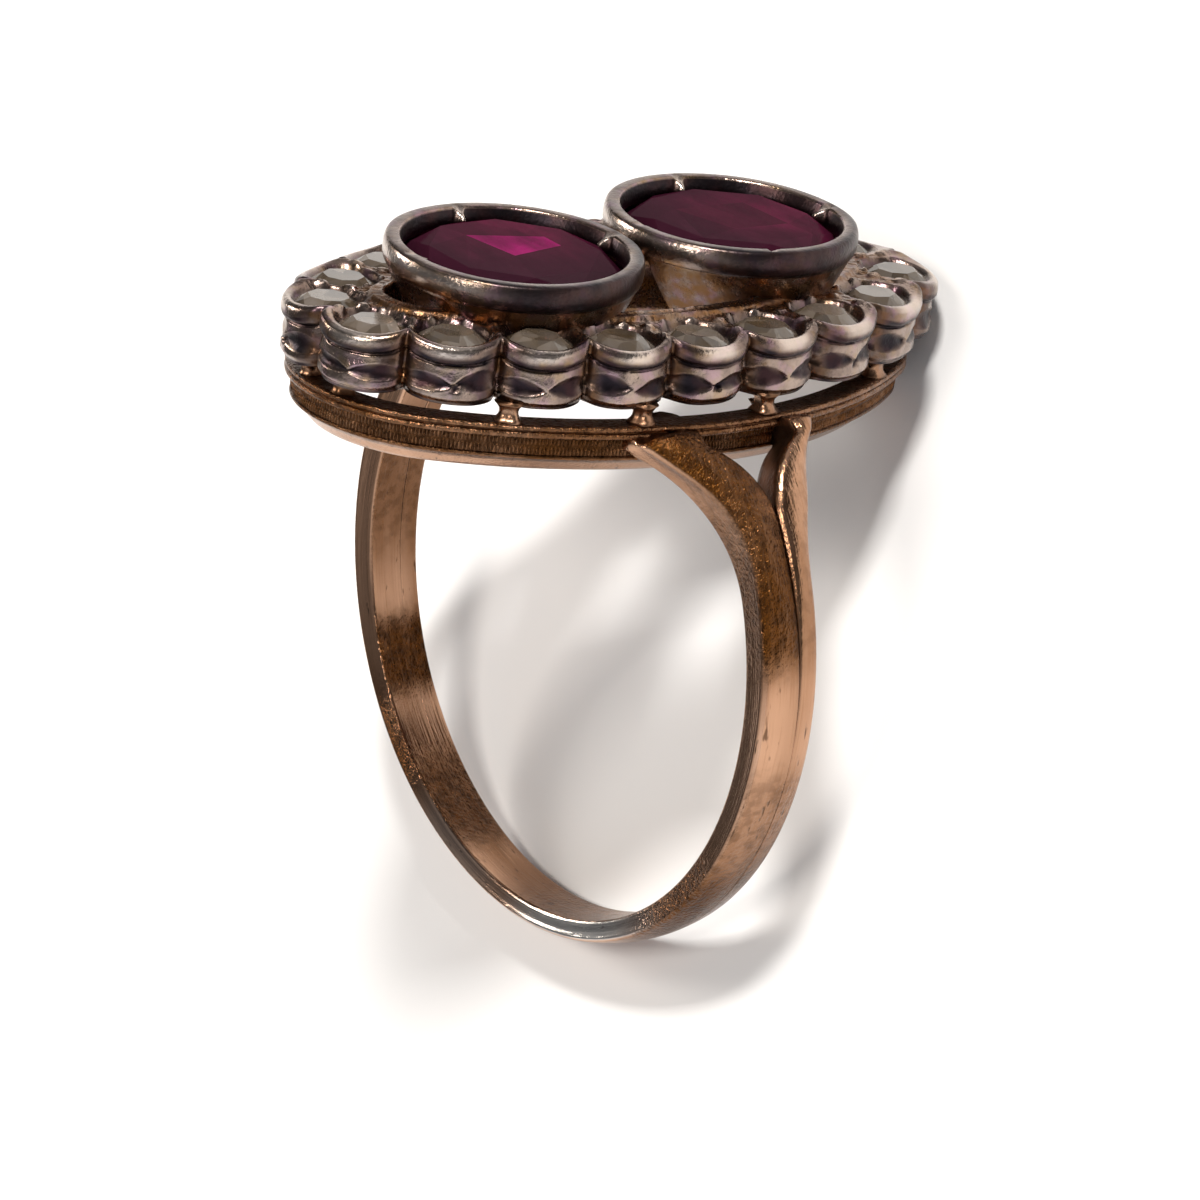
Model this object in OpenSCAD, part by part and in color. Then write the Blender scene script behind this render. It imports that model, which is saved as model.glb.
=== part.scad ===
// Two-stone oval cluster ring, lying on its side as it comes to rest by itself.
// It is drawn standing first: X across the finger hole, Y along the finger,
// Z from the finger hole up to the head. laid() then turns it on to the floor.

/* [Finger hole] */
// Radius of the finger hole, mm
hole_r = 8.5; // [7.5:0.05:10.5]

/* [Band] */
// Thickness of the band at its sides, mm
band_t = 0.98; // [0.7:0.05:1.6]
// How much thinner the band is worn below, mm
band_wear = 0.3; // [0:0.02:0.4]
// Where the band is thinnest, degrees from its bottom
wear_at = -12; // [-60:1:60]
// Width of the band at the finger, mm
band_w_in = 1.6; // [1.2:0.05:3]
// Width of the band at its outer edges, mm
band_w_out = 1.86; // [1.2:0.05:3.4]
// How far the outer face stands proud of its edges, mm
band_crown = 0.16; // [0:0.02:0.4]

/* [Forked shoulders] */
// Angle from the bottom of the band at which the shoulders are drawn, degrees
fork_at = 130; // [120:1:140]
// Height on the shoulder at which the two arms start to spread, mm
fork_start = -2.6; // [-4:0.1:0]
// Radius of the curve along the outside of each arm, mm
fork_curve = 5.6; // [4:0.1:9]
// Radius of the curve along the inside of each arm, mm
slot_curve = 2.8; // [1.5:0.1:6]
// Height on the shoulder at which the split goes right through, mm
slot_through = -0.3; // [-0.4:0.05:1.5]
// Depth of the split below the arms before it goes through, mm
split_depth = 0.6; // [0.2:0.05:0.8]
// How far the split lies behind the middle of the band, mm
split_y = 0.22; // [0:0.02:0.4]
// Top of the arms, where they run into the gallery, mm
arm_top = 7.5; // [6.8:0.05:7.6]

/* [Oval of the head] */
// Half length of the head along the finger, mm
head_a = 10.25; // [9:0.01:12]
// Half width of the head across the finger, mm
head_b = 5.65; // [5:0.05:8]
// Radius of the round ends of the head, mm
head_end = 3.8; // [3.2:0.05:5]
// Sideways lean of the head over the finger hole, degrees
head_lean = 1.4; // [0:0.1:3]
// How far the head dips towards the back of the ring, degrees
head_dip = 1.5; // [0:0.1:2]
// How far the cluster sits towards the back of the ring, mm
head_y = 0.2; // [0:0.05:0.4]

/* [Gallery] */
// Half length of the gallery along the finger, mm
gallery_a = 9.62; // [9:0.05:12]
// Half width of the gallery across the finger, mm
gallery_b = 5.75; // [5:0.05:8]
// Radius of the round ends of the gallery, mm
gallery_end = 3.9; // [3.2:0.05:5]
// How far the gallery sits towards the back of the ring, mm
gallery_y = -0.05; // [-0.4:0.05:0.4]
// Bottom of the gallery above the middle of the finger hole, mm
gallery_z = 6.1; // [6:0.05:8]
// Height of the plain sloping skirt, mm
skirt_h = 0.5; // [0.3:0.05:1]
// Height of the milled strip, mm
strip_h = 0.65; // [0.3:0.05:1]
// Height of the bead along the top, mm
rail_h = 0.3; // [0.2:0.05:0.6]
// Thickness of the gallery wall at the top, mm
gallery_t = 0.75; // [0.5:0.05:1.2]
// Gap between the gallery and the cluster, bridged by posts, mm
lift = 0.25; // [0.1:0.05:1]
// Radius of each post, mm
post_r = 0.3; // [0.2:0.05:0.5]

/* [Cluster] */
// How far the scallops crowd towards the front, in scallops
crowding = 0.36; // [0:0.02:0.4]
// Height of the scalloped wall, mm
wall_h = 1.95; // [1:0.05:2.4]
// Radius of each scallop, mm
scallop_r = 2; // [1.6:0.05:2.4]
// Depth of the grooves between the scallops, mm
groove_in = 0.36; // [0.1:0.02:0.8]
// Height of the smaller foot below each scallop, mm
foot_h = 0.4; // [0.2:0.05:0.8]
// How far that foot stands in, mm
foot_in = 0.12; // [0:0.02:0.4]
// Width of the plain ledge inside the stones, mm
ledge_w = 0.45; // [0.3:0.05:0.6]
// Step down from the stones' rim to the ledge, mm
ledge_step = 0.22; // [0:0.02:0.6]

/* [Small stones] */
// Radius of a small stone at its girdle, mm
small_r = 0.9; // [0.7:0.02:0.96]
// Distance of the small stones' middles from the scallops' tips, mm
small_in = 1.2; // [1.2:0.02:1.5]

/* [Bezels] */
// Radius of a bezel at its collar, mm
bezel_r = 3.5; // [3:0.05:4]
// Distance of each bezel from the middle of the head along the finger, mm
bezel_y = 3.75; // [3.5:0.01:4]
// How far the bezels stand to either side of the long axis, mm
bezel_x = 0.12; // [0:0.02:0.4]
// Height of the back collar above the cluster's rim, mm
bezel_rise = 1.38; // [1:0.02:1.8]
// How much lower the front collar stands, mm
front_drop = 0.24; // [0:0.02:0.4]
// Tilt of the front bezel towards the near side, degrees
front_tilt = 2.6; // [0:0.1:4]
// Tilt of the back bezel towards the near side, degrees
back_tilt = 2; // [0:0.1:4]
// Radius of the rounded collar's section, mm
collar_r = 0.26; // [0.15:0.01:0.4]

/* [Large stones] */
// Radius of a large stone at its girdle, mm
large_r = 3.06; // [2.6:0.02:3.4]
// Radius of its table, mm
large_table_r = 1.85; // [1.2:0.05:2.4]

/* [Fit] */
// Gap kept between pieces, mm
gap = 0.03; // [0.02:0.01:0.06]

/* [Hidden] */
$fn = 64;
eps = 0.01;
stones = 18;
arm_y = 3.8;
slot_y = 1.45;
split_start = -0.95;
line_from = 80;
line_angle = 51;
line_shift = 1.3;
worn = [-band_wear * sin(wear_at), band_wear * cos(wear_at), 0];
band_r = hole_r + band_t;
edge_r = band_r - band_crown;

strip_z = gallery_z + skirt_h;
rail_z = strip_z + strip_h;
gallery_top = rail_z + rail_h;

// an oval of four arcs: [end radius, end centre, side radius, side centre, turn]
function oval(a, b, r) =
    let (side = (pow(a - r, 2) + b * b - r * r) / (2 * (b - r)))
    [r, a - r, side, side - b, atan2(a - r, side - b)];
HEAD = oval(head_a, head_b, head_end);
GALLERY = oval(gallery_a, gallery_b, gallery_end);

// middles of the stones are set out along a line a little inside the outline
line_in = 0.7;
line_side = HEAD[2] - line_in;
line_end = HEAD[0] - line_in;
len_end = line_end * (90 - HEAD[4]) * PI / 180;
len_side = line_side * 2 * HEAD[4] * PI / 180;
half_line = 2 * len_end + len_side;
post_places = [0.03, 0.2, 0.4, 0.61, 0.86];

// heights above the foot of the cluster
ledge_in = small_in + small_r + 0.14;
ledge_z = wall_h - ledge_step;
collar_z = wall_h + bezel_rise;
bezel_foot = 0.45;
bezel_foot_r = 2.45;
back_r = 1.5;

small_table_r = small_r * 0.62;
small_crown_h = 0.24;
small_belt_h = 0.06;
small_depth = 0.62;
small_z = wall_h - small_crown_h - small_belt_h - 0.2;

large_crown_h = 0.62;
large_belt_h = 0.1;
large_depth = 2.1;
large_z = collar_z - large_crown_h - large_belt_h - 0.12;

// pose on the floor: the band's edge and the back end of the head touch it, and
// the origin is on the floor under the middle of the whole ring
lie_turn = [-61, 0.68, 90];
lie_move = [2.475, -0.064, 5.191];

// outward direction of the head's outline at length s from its end at -Y
function bearing(s) =
    s < len_end ? -90 + s / line_end * 180 / PI :
    s < len_end + len_side ? -HEAD[4] + (s - len_end) / line_side * 180 / PI :
    HEAD[4] + (s - len_end - len_side) / line_end * 180 / PI;

// point of oval o where it faces direction t, moved outwards by d
function oval_point(o, t, d) =
    abs(t) < o[4] ? [-o[3] + (o[2] + d) * cos(t), (o[2] + d) * sin(t)] :
    [(o[0] + d) * cos(t), sign(t) * o[1] + (o[0] + d) * sin(t)];

// length along the line at k scallops from the end at -Y
function along(k) = half_line / 9 * (k - crowding * sin(180 * pow(k / 9, 1.6)));

// place of small stone i and its outward direction: nine stones on the +X side,
// then nine on the -X side
function spot(i) =
    let (t = bearing(along(i % 9 + 0.5)), p = oval_point(HEAD, t, -small_in))
    i < 9 ? [p[0], p[1], t] : [-p[0], p[1], 180 - t];

// rim of n points at radius r and height z, turned by a
function rim(n, r, z, a = 0) = [for (i = [0:n - 1])
    [r * cos(a + i * 360 / n), r * sin(a + i * 360 / n), z]];

// flat profile swept around oval o; its x is measured from the outline
module oval_sweep(o) {
    for (m = [0, 1]) mirror([m, 0, 0])
        translate([-o[3], 0, 0]) rotate([0, 0, -o[4]])
            rotate_extrude(angle = 2 * o[4], $fn = 120) translate([o[2], 0]) children();
    for (m = [0, 1]) mirror([0, m, 0])
        translate([0, o[1], 0]) rotate([0, 0, o[4]])
            rotate_extrude(angle = 180 - 2 * o[4], $fn = 96) translate([o[0], 0]) children();
}

// place something at small stone i, its x pointing outwards
module at_spot(i) {
    translate([spot(i)[0], spot(i)[1], 0]) rotate([0, 0, spot(i)[2]]) children();
}

// turn the shank's axis along the finger
module along_finger() {
    rotate([90, 0, 0]) children();
}

// the ring as it lies on the floor
module laid() {
    translate(lie_move) rotate(lie_turn) children();
}

// flat band with a slightly domed outer face, worn thin at the bottom
module hoop() {
    along_finger() difference() {
        translate(worn) rotate_extrude($fn = 160) polygon([
            [hole_r - 1, -band_w_in / 2], [hole_r - 0.3, -band_w_in / 2], [edge_r, -band_w_out / 2],
            [band_r - 0.04, -band_w_out / 4], [band_r, 0], [band_r - 0.04, band_w_out / 4],
            [edge_r, band_w_out / 2], [hole_r - 0.3, band_w_in / 2], [hole_r - 1, band_w_in / 2]]);
        cylinder(r = hole_r, h = 10, center = true, $fn = 160);
    }
}

// outline of both arms on the shoulder, x up along the band, y along the finger
module fork_outline() {
    foot_y = band_w_in / 2 - 0.02;
    difference() {
        translate([fork_start - 2, -arm_y]) square([5.6 - fork_start, 2 * arm_y]);
        for (s = [-1, 1]) {
            translate([fork_start, s * (foot_y + fork_curve)]) circle(r = fork_curve, $fn = 160);
            translate([fork_start - 4, s * (foot_y + 2.5) - 2.5]) square([4, 5]);
        }
    }
}

// outline of the split between the arms, from a height on the shoulder upwards
module slot_outline(from) {
    translate([0, -split_y]) difference() {
        translate([from, -slot_y]) square([3.6 - from, 2 * slot_y]);
        for (s = [-1, 1])
            translate([split_start, s * slot_curve]) circle(r = slot_curve, $fn = 120);
    }
}

// stands an outline square to the band at the shoulder, its z running outwards
module on_shoulder() {
    rotate([0, -fork_at, 0]) rotate([180, 0, 0]) children();
}

// one shoulder before it is split, as wide as its two arms together,
// s = -1 on the +X side and 1 on the mirrored one
module shoulder(s) {
    intersection() {
        along_finger() difference() {
            translate([-s * worn[0], worn[1], 0])
                cylinder(r = band_r - 0.03, h = 9, center = true, $fn = 160);
            cylinder(r = hole_r, h = 10, center = true, $fn = 160);
        }
        on_shoulder() translate([0, 0, 6]) linear_extrude(height = 6) fork_outline();
        translate([-20, -10, -10]) cube([40, 20, 10 + arm_top]);
    }
}

// the split: right through near the gallery, a step below the arms further down
module split(s) {
    on_shoulder() {
        translate([0, 0, 6]) linear_extrude(height = 6) slot_outline(slot_through);
        translate([0, 0, band_r + 0.2 - split_depth]) linear_extrude(height = 3)
            slot_outline(split_start + 0.5);
    }
    // fading line below the split
    translate([s * worn[0], split_y, worn[1]]) rotate([0, 90 - line_from, 0]) along_finger()
        translate([line_shift, 0, 0]) rotate_extrude(angle = line_angle, $fn = 160) polygon([
            [band_r - line_shift, 0], [band_r - line_shift + 0.6, -0.3], [band_r - line_shift + 0.6, 0.3]]);
}

// oval gallery: bead on top, milled strip, plain skirt sloping in below
module gallery() {
    oval_sweep(GALLERY) polygon([
        [-0.75, gallery_z], [-0.22, strip_z], [-0.26, strip_z + 0.04], [-0.26, rail_z - 0.04],
        [-0.1, rail_z], [0, rail_z + 0.08], [0, gallery_top - 0.1], [-0.12, gallery_top],
        [-gallery_t, gallery_top], [-1.25, gallery_z]]);
}

// posts that carry the cluster, down from its foot into the gallery
module posts() {
    for (m = [0, 1], k = post_places) mirror([m, 0, 0])
        translate(concat(oval_point(GALLERY, bearing(k * half_line), -0.44), [-lift - 0.12]))
            translate([0, gallery_y - head_y, 0]) cylinder(r = post_r, h = lift + 0.12 - gap, $fn = 24);
}

// the gallery's own frame, dipping with the head but not leaning
module on_gallery() {
    translate([0, gallery_y, gallery_top]) rotate([-head_dip, 0, 0])
        translate([0, 0, -gallery_top]) children();
}

// the head's own frame: z = 0 at the cluster's foot, a little to the back,
// dipping and leaning a little
module on_head() {
    translate([0, 0, gallery_top]) rotate([-head_dip, -head_lean, 0])
        translate([0, head_y, lift]) children();
}

module shank() {
    color([0.62, 0.42, 0.32]) laid() {
        difference() {
            union() {
                intersection() {
                    hoop();
                    translate([-20, -10, -20]) cube([40, 20, 20 + 5.4]);
                }
                for (m = [0, 1]) mirror([m, 0, 0]) shoulder(2 * m - 1);
            }
            for (m = [0, 1]) mirror([m, 0, 0]) split(1 - 2 * m);
        }
        on_gallery() gallery();
        on_head() posts();
    }
}

// flat outline of oval o, moved outwards by d
module oval_outline(o, d) {
    near = [for (t = [-88.5:3:88.5]) oval_point(o, t, d)];
    far = [for (i = [len(near) - 1:-1:0]) [-near[i][0], near[i][1]]];
    polygon(concat(near, far));
}

// flat outline of the scallops at radius r, open where the bezels stand
module scalloped_outline(r, inner) {
    difference() {
        union() {
            oval_outline(HEAD, r - scallop_r - groove_in);
            for (i = [0:stones - 1]) at_spot(i) translate([small_in - scallop_r, 0]) circle(r = r, $fn = 48);
        }
        oval_outline(HEAD, -inner);
    }
}

// scalloped wall on its smaller foot, with the plain ledge inside it
module scallops() {
    inner = ledge_in + ledge_w;
    difference() {
        union() {
            linear_extrude(height = foot_h + 0.1) scalloped_outline(scallop_r - foot_in, inner + 0.03);
            translate([0, 0, foot_h]) linear_extrude(height = wall_h - foot_h)
                scalloped_outline(scallop_r, inner);
        }
        translate([0, 0, ledge_z]) linear_extrude(height = 1) oval_outline(HEAD, -ledge_in);
    }
}

// seat of one small stone, with a lip that closes over its girdle
module small_seat() {
    r = small_r + gap;
    belt = small_z + small_belt_h + 0.04;
    rotate_extrude($fn = 24) polygon([
        [0, -1], [0.45, -1], [0.45, small_z - 0.4], [r, small_z - eps], [r, belt],
        [r - 0.08, wall_h + 0.02], [0, wall_h + 0.02]]);
}

// wall and rolled collar of one bezel, narrowing towards its foot
module bezel() {
    top = collar_z - collar_r;
    rotate_extrude($fn = 72) polygon(concat(
        [[1, bezel_foot], [bezel_foot_r, bezel_foot], [bezel_r - 0.3, top - 0.25]],
        [for (a = [-45:22.5:180]) [bezel_r - collar_r * (1 - cos(a)), top + collar_r * sin(a)]],
        [[1, top]]));
}

// inside of one bezel: open back, seat along the pavilion, and lip
module bezel_inside() {
    r = large_r + gap;
    lip_r = bezel_r - 2 * collar_r;
    belt = large_z + large_belt_h + 0.06;
    seat_h = (r - back_r) * large_depth * 0.56 / (large_r * 0.44);
    rotate_extrude($fn = 72) polygon([
        [0, -1], [back_r, -1], [back_r, large_z - seat_h], [r, large_z - eps], [r, belt],
        [lip_r, belt + 0.2], [lip_r, collar_z + 1], [0, collar_z + 1]]);
}

// place something at the bezel on one side, tilted about its collar's middle;
// s = -1 in front and 1 at the back
module at_bezel(s) {
    translate([-s * bezel_x, s * bezel_y, s < 0 ? collar_z - front_drop : collar_z])
        rotate(a = s < 0 ? front_tilt : back_tilt, v = [0.63, 0.78, 0])
            translate([0, 0, -collar_z]) children();
}

module setting() {
    color([0.66, 0.62, 0.58]) laid() on_head() difference() {
        union() {
            scallops();
            for (s = [-1, 1]) at_bezel(s) bezel();
            translate([-1.3, -1, bezel_foot + 0.1]) cube([2.6, 2, 0.8]);
        }
        for (s = [-1, 1]) at_bezel(s) bezel_inside();
        for (i = [0:stones - 1]) at_spot(i) small_seat();
    }
}

// round cut stone: table, sixteen-sided girdle, pavilion down to a point
module cut_stone(girdle_r, table_r, crown_h, belt_h, depth) {
    points = concat(rim(8, table_r, belt_h + crown_h, 22.5), rim(16, girdle_r, belt_h),
        rim(16, girdle_r, 0), rim(8, girdle_r * 0.56, -depth * 0.56, 22.5), [[0, 0, -depth]]);
    crown = [for (k = [0:7], f = [
        [k, 9 + 2 * k, 8 + 2 * k],
        [k, 8 + (2 * k + 2) % 16, 9 + 2 * k],
        [k, (k + 1) % 8, 8 + (2 * k + 2) % 16]]) f];
    belt = [for (k = [0:15]) [8 + k, 8 + (k + 1) % 16, 24 + (k + 1) % 16, 24 + k]];
    pavilion = [for (k = [0:7], f = [
        [40 + k, 24 + 2 * k, 25 + 2 * k],
        [40 + k, 25 + 2 * k, 24 + (2 * k + 2) % 16],
        [40 + k, 24 + (2 * k + 2) % 16, 40 + (k + 1) % 8],
        [40 + k, 40 + (k + 1) % 8, 48]]) f];
    polyhedron(points = points,
        faces = concat([[7, 6, 5, 4, 3, 2, 1, 0]], crown, belt, pavilion));
}

// large stone in the bezel on side s
module tourmaline(s) {
    color([0.4, 0.08, 0.2]) laid() on_head() at_bezel(s) translate([0, 0, large_z])
        cut_stone(large_r, large_table_r, large_crown_h, large_belt_h, large_depth);
}

// small stone number i
module diamond(i) {
    color([0.8, 0.78, 0.68]) laid() on_head() at_spot(i) translate([0, 0, small_z])
        cut_stone(small_r, small_table_r, small_crown_h, small_belt_h, small_depth);
}

module tourmaline_front() { tourmaline(-1); }
module tourmaline_back() { tourmaline(1); }
module diamond_01() { diamond(0); }
module diamond_02() { diamond(1); }
module diamond_03() { diamond(2); }
module diamond_04() { diamond(3); }
module diamond_05() { diamond(4); }
module diamond_06() { diamond(5); }
module diamond_07() { diamond(6); }
module diamond_08() { diamond(7); }
module diamond_09() { diamond(8); }
module diamond_10() { diamond(9); }
module diamond_11() { diamond(10); }
module diamond_12() { diamond(11); }
module diamond_13() { diamond(12); }
module diamond_14() { diamond(13); }
module diamond_15() { diamond(14); }
module diamond_16() { diamond(15); }
module diamond_17() { diamond(16); }
module diamond_18() { diamond(17); }

shank();
setting();
tourmaline_front();
tourmaline_back();
diamond_01();
diamond_02();
diamond_03();
diamond_04();
diamond_05();
diamond_06();
diamond_07();
diamond_08();
diamond_09();
diamond_10();
diamond_11();
diamond_12();
diamond_13();
diamond_14();
diamond_15();
diamond_16();
diamond_17();
diamond_18();
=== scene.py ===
"""Two-stone oval cluster ring in rose gold and tarnished silver, lying on its side.

All sizes are millimetres in the frames that the solids use, and are turned on to the
floor and into metres by the frames below.
"""

import logging
import math
from dataclasses import dataclass, field
from enum import Enum, IntEnum

import bmesh
import bpy
import numpy as np
from mathutils import Matrix

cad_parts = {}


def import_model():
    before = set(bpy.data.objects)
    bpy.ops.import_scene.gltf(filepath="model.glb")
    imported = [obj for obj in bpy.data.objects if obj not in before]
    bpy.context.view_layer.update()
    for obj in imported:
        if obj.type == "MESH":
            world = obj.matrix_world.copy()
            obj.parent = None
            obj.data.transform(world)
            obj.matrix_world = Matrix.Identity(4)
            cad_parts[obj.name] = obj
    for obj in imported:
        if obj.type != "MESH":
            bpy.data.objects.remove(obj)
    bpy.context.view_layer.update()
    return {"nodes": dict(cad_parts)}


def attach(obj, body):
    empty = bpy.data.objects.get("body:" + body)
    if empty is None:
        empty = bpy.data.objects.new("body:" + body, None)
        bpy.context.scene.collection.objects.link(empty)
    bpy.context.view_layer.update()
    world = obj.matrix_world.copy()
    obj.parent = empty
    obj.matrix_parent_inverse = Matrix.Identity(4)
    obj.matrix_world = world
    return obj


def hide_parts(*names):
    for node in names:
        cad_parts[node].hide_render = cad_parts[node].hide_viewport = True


Array = np.ndarray
Point = tuple[float, float, float]
Piece = bpy.types.Object
Material = bpy.types.Material
Socket = bpy.types.NodeSocket
MM = 0.001
SCALLOPS = 18
log = logging.getLogger("ring")


# ---------------------------------------------------------------- frames


def shift(x: float, y: float, z: float) -> Array:
    """Matrix that moves by (x, y, z)."""
    m = np.eye(4)
    m[:3, 3] = (x, y, z)
    return m


def turn(degrees: float, axis: Point) -> Array:
    """Matrix that turns about an axis through the origin.

    Args:
        degrees: the angle, by the right-hand rule.
        axis: the axis, of any length.

    Returns:
        Rodrigues' formula as a 4 by 4 matrix.
    """
    n = np.array(axis, float) / np.linalg.norm(axis)
    a = math.radians(degrees)
    k = np.array([[0, -n[2], n[1]], [n[2], 0, -n[0]], [-n[1], n[0], 0]])
    m = np.eye(4)
    m[:3, :3] = np.eye(3) + math.sin(a) * k + (1 - math.cos(a)) * (k @ k)
    return m


def placed(m: Array, points: Array) -> Array:
    """Points (..., 3) carried by a 4 by 4 matrix."""
    return points @ m[:3, :3].T + m[:3, 3]


@dataclass(frozen=True)
class Frames:
    """The frames of the ring: on the floor, of the gallery, of the head and of each bezel.

    Attributes:
        dip, lean: degrees by which gallery and head dip, and by which the head leans.
        head_y, gallery_y, lift: how far head and gallery sit aside, and the head's lift.
        bezel_x, bezel_y, collar_z: place of a collar's rim in the head.
        front_drop: how much lower the front bezel sits.
        front_tilt, back_tilt, tilt_axis: tilt of each bezel, degrees, and its axis.
        lie_turn, lie_move: turns about X, Y and Z, degrees, and the move, mm, that lay the
            standing ring down.
    """

    gallery_top: float = 7.55
    dip: float = 1.5
    lean: float = 1.4
    head_y: float = 0.2
    gallery_y: float = -0.05
    lift: float = 0.25
    bezel_x: float = 0.12
    bezel_y: float = 3.75
    collar_z: float = 3.33
    front_drop: float = 0.24
    front_tilt: float = 2.6
    back_tilt: float = 2.0
    tilt_axis: Point = (0.63, 0.78, 0.0)
    lie_turn: Point = (-61.0, 0.68, 90.0)
    lie_move: Point = (2.475, -0.064, 5.191)

    @property
    def floor(self) -> Array:
        """From the standing ring, in mm, to the floor, in metres."""
        x, y, z = self.lie_turn
        lie = turn(z, (0, 0, 1)) @ turn(y, (0, 1, 0)) @ turn(x, (1, 0, 0))
        return np.diag([MM, MM, MM, 1.0]) @ shift(*self.lie_move) @ lie

    @property
    def gallery(self) -> Array:
        """From the gallery, which dips but doesn't lean, to the floor."""
        up = shift(0, self.gallery_y, self.gallery_top)
        return self.floor @ up @ turn(-self.dip, (1, 0, 0)) @ shift(0, 0, -self.gallery_top)

    @property
    def head(self) -> Array:
        """From the head, z = 0 at the cluster's foot, to the floor."""
        tip = turn(-self.lean, (0, 1, 0)) @ turn(-self.dip, (1, 0, 0))
        return self.floor @ shift(0, 0, self.gallery_top) @ tip @ shift(0, self.head_y, self.lift)

    def bezel(self, side: int) -> Array:
        """From one bezel to the floor.

        Args:
            side: -1 for the front bezel and 1 for the back one.

        Returns:
            The matrix, with z counted from the cluster's foot.
        """
        drop = self.front_drop if side < 0 else 0.0
        tilt = self.front_tilt if side < 0 else self.back_tilt
        at = shift(-side * self.bezel_x, side * self.bezel_y, self.collar_z - drop)
        return self.head @ at @ turn(tilt, self.tilt_axis) @ shift(0, 0, -self.collar_z)


# ---------------------------------------------------------------- shapes


def smooth(x: Array, low: float, high: float) -> Array:
    """Cubic step from 0 at low to 1 at high: t * t * (3 - 2 t)."""
    t = np.clip((x - low) / (high - low), 0, 1)
    return t * t * (3 - 2 * t)


def bell(x: Array, middle: float | Array, half: float, power: int = 2) -> Array:
    """Bump of height 1 at the middle: exp(-((x - middle) / half) ** power)."""
    return np.exp(-((x - middle) / half) ** power)


def rounding(t: Array) -> Array:
    """How far a quarter circle has fallen at t from its top: 1 - sqrt(1 - t * t)."""
    return 1 - np.sqrt(1 - t ** 2)


def mirrored(bearing: Array) -> Array:
    """Bearing of the same place on the -X side."""
    return np.where(bearing >= 0, math.pi - bearing, -math.pi - bearing)


def ripple(a: Array, b: Array, seed: int, waves: int = 7, top: int = 9) -> Array:
    """Soft seamless unevenness over two angles.

    Formula: the mean of sines of whole multiples of both angles with seeded phases,
    each divided by the root of its multiples' sum.

    Args:
        a: first angle, radians.
        b: second angle, radians.
        seed: seed of the phases.
        waves: number of sines.
        top: highest multiple.

    Returns:
        Values of about -1 to 1.
    """
    rng = np.random.default_rng(seed)
    total = np.zeros(np.broadcast(a, b).shape)
    for _ in range(waves):
        m, n = rng.integers(1, top), rng.integers(0, 3)
        total += np.sin(m * a + n * b + rng.uniform(0, 6.28)) / math.sqrt(m + n)
    return total / math.sqrt(waves)


def patches(angle: Array, spots: tuple[Point, ...]) -> Array:
    """Flat-topped patches along an angle.

    Formula: the sum of amount * bell(angle, middle, half width) of the fourth power.

    Args:
        angle: degrees.
        spots: middle, half width and amount of each patch.

    Returns:
        Values of 0 and up, of the angle's shape.
    """
    return sum(amount * bell(angle, middle, half, 4) for middle, half, amount in spots)


@dataclass(frozen=True)
class Oval:
    """Oval of four arcs, long along Y."""

    half_length: float
    half_width: float
    end_radius: float

    @property
    def side_radius(self) -> float:
        """Radius of the long side arcs."""
        a, b, r = self.half_length, self.half_width, self.end_radius
        return ((a - r) ** 2 + b * b - r * r) / (2 * (b - r))

    @property
    def join(self) -> float:
        """Bearing, in radians, at which a side arc meets an end arc."""
        return math.atan2(self.half_length - self.end_radius, self.side_radius - self.half_width)

    def point(self, bearing: Array, out: Array | float) -> Array:
        """Points of the outline moved outwards.

        Formula: on the side arcs, centre (-(R - b), 0) plus (R + out) times the bearing's
        direction; on the end arcs, centre (0, +-(a - r)) plus (r + out) times it. Bearings
        past a right angle mirror to the -X side.

        Args:
            bearing: outward direction, radians from +X, -pi to pi.
            out: distance outwards.

        Returns:
            Array (..., 2).
        """
        far = np.abs(bearing) > math.pi / 2
        t = np.where(far, np.sign(bearing) * math.pi - bearing, bearing)
        side = np.abs(t) < self.join
        r = np.where(side, self.side_radius, self.end_radius) + out
        x = np.where(side, self.half_width - self.side_radius, 0.0) + r * np.cos(t)
        y = np.where(side, 0.0, np.sign(t) * (self.half_length - self.end_radius)) + r * np.sin(t)
        return np.stack([np.where(far, -x, x), y], -1)

    def runs(self, inside: float = 0.0) -> tuple[float, float]:
        """Lengths of half an end arc and of a side arc, on a line that far inside."""
        end = (self.end_radius - inside) * (math.pi / 2 - self.join)
        return end, (self.side_radius - inside) * 2 * self.join

    def at_length(self, s: Array, inside: float = 0.0) -> Array:
        """Bearing at a length along the +X half.

        Formula: the length left over on each arc, divided by the arc's radius.

        Args:
            s: length from the -Y end.
            inside: how far inside the outline the line lies.

        Returns:
            Bearings in radians, -pi / 2 to pi / 2.
        """
        end, side = self.runs(inside)
        end_r, side_r = self.end_radius - inside, self.side_radius - inside
        return np.where(s < end, -math.pi / 2 + s / end_r,
                        np.where(s < end + side, -self.join + (s - end) / side_r,
                                 self.join + (s - end - side) / end_r))

    def walk(self, count: int) -> tuple[Array, float]:
        """Bearings evenly spaced along the outline, from the -Y end round by +X.

        Args:
            count: number of bearings.

        Returns:
            The bearings and the outline's length.
        """
        end, side = self.runs()
        half = 2 * end + side
        s = np.arange(count) / count * 2 * half
        t = self.at_length(np.where(s < half, s, 2 * half - s))
        return np.where(s < half, t, mirrored(t)), 2 * half


def linked(name: str, data: bpy.types.ID) -> Piece:
    """Makes an object of some data and puts it in the scene."""
    thing = bpy.data.objects.new(name, data)
    bpy.context.scene.collection.objects.link(thing)
    return thing


def stand(thing: Piece, axes: Array, place: Array) -> None:
    """Turns an object to three axes, the columns of a matrix, and puts it in its place."""
    m = np.eye(4)
    m[:3, :3], m[:3, 3] = axes, place
    thing.matrix_world = Matrix(m.tolist())


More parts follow.
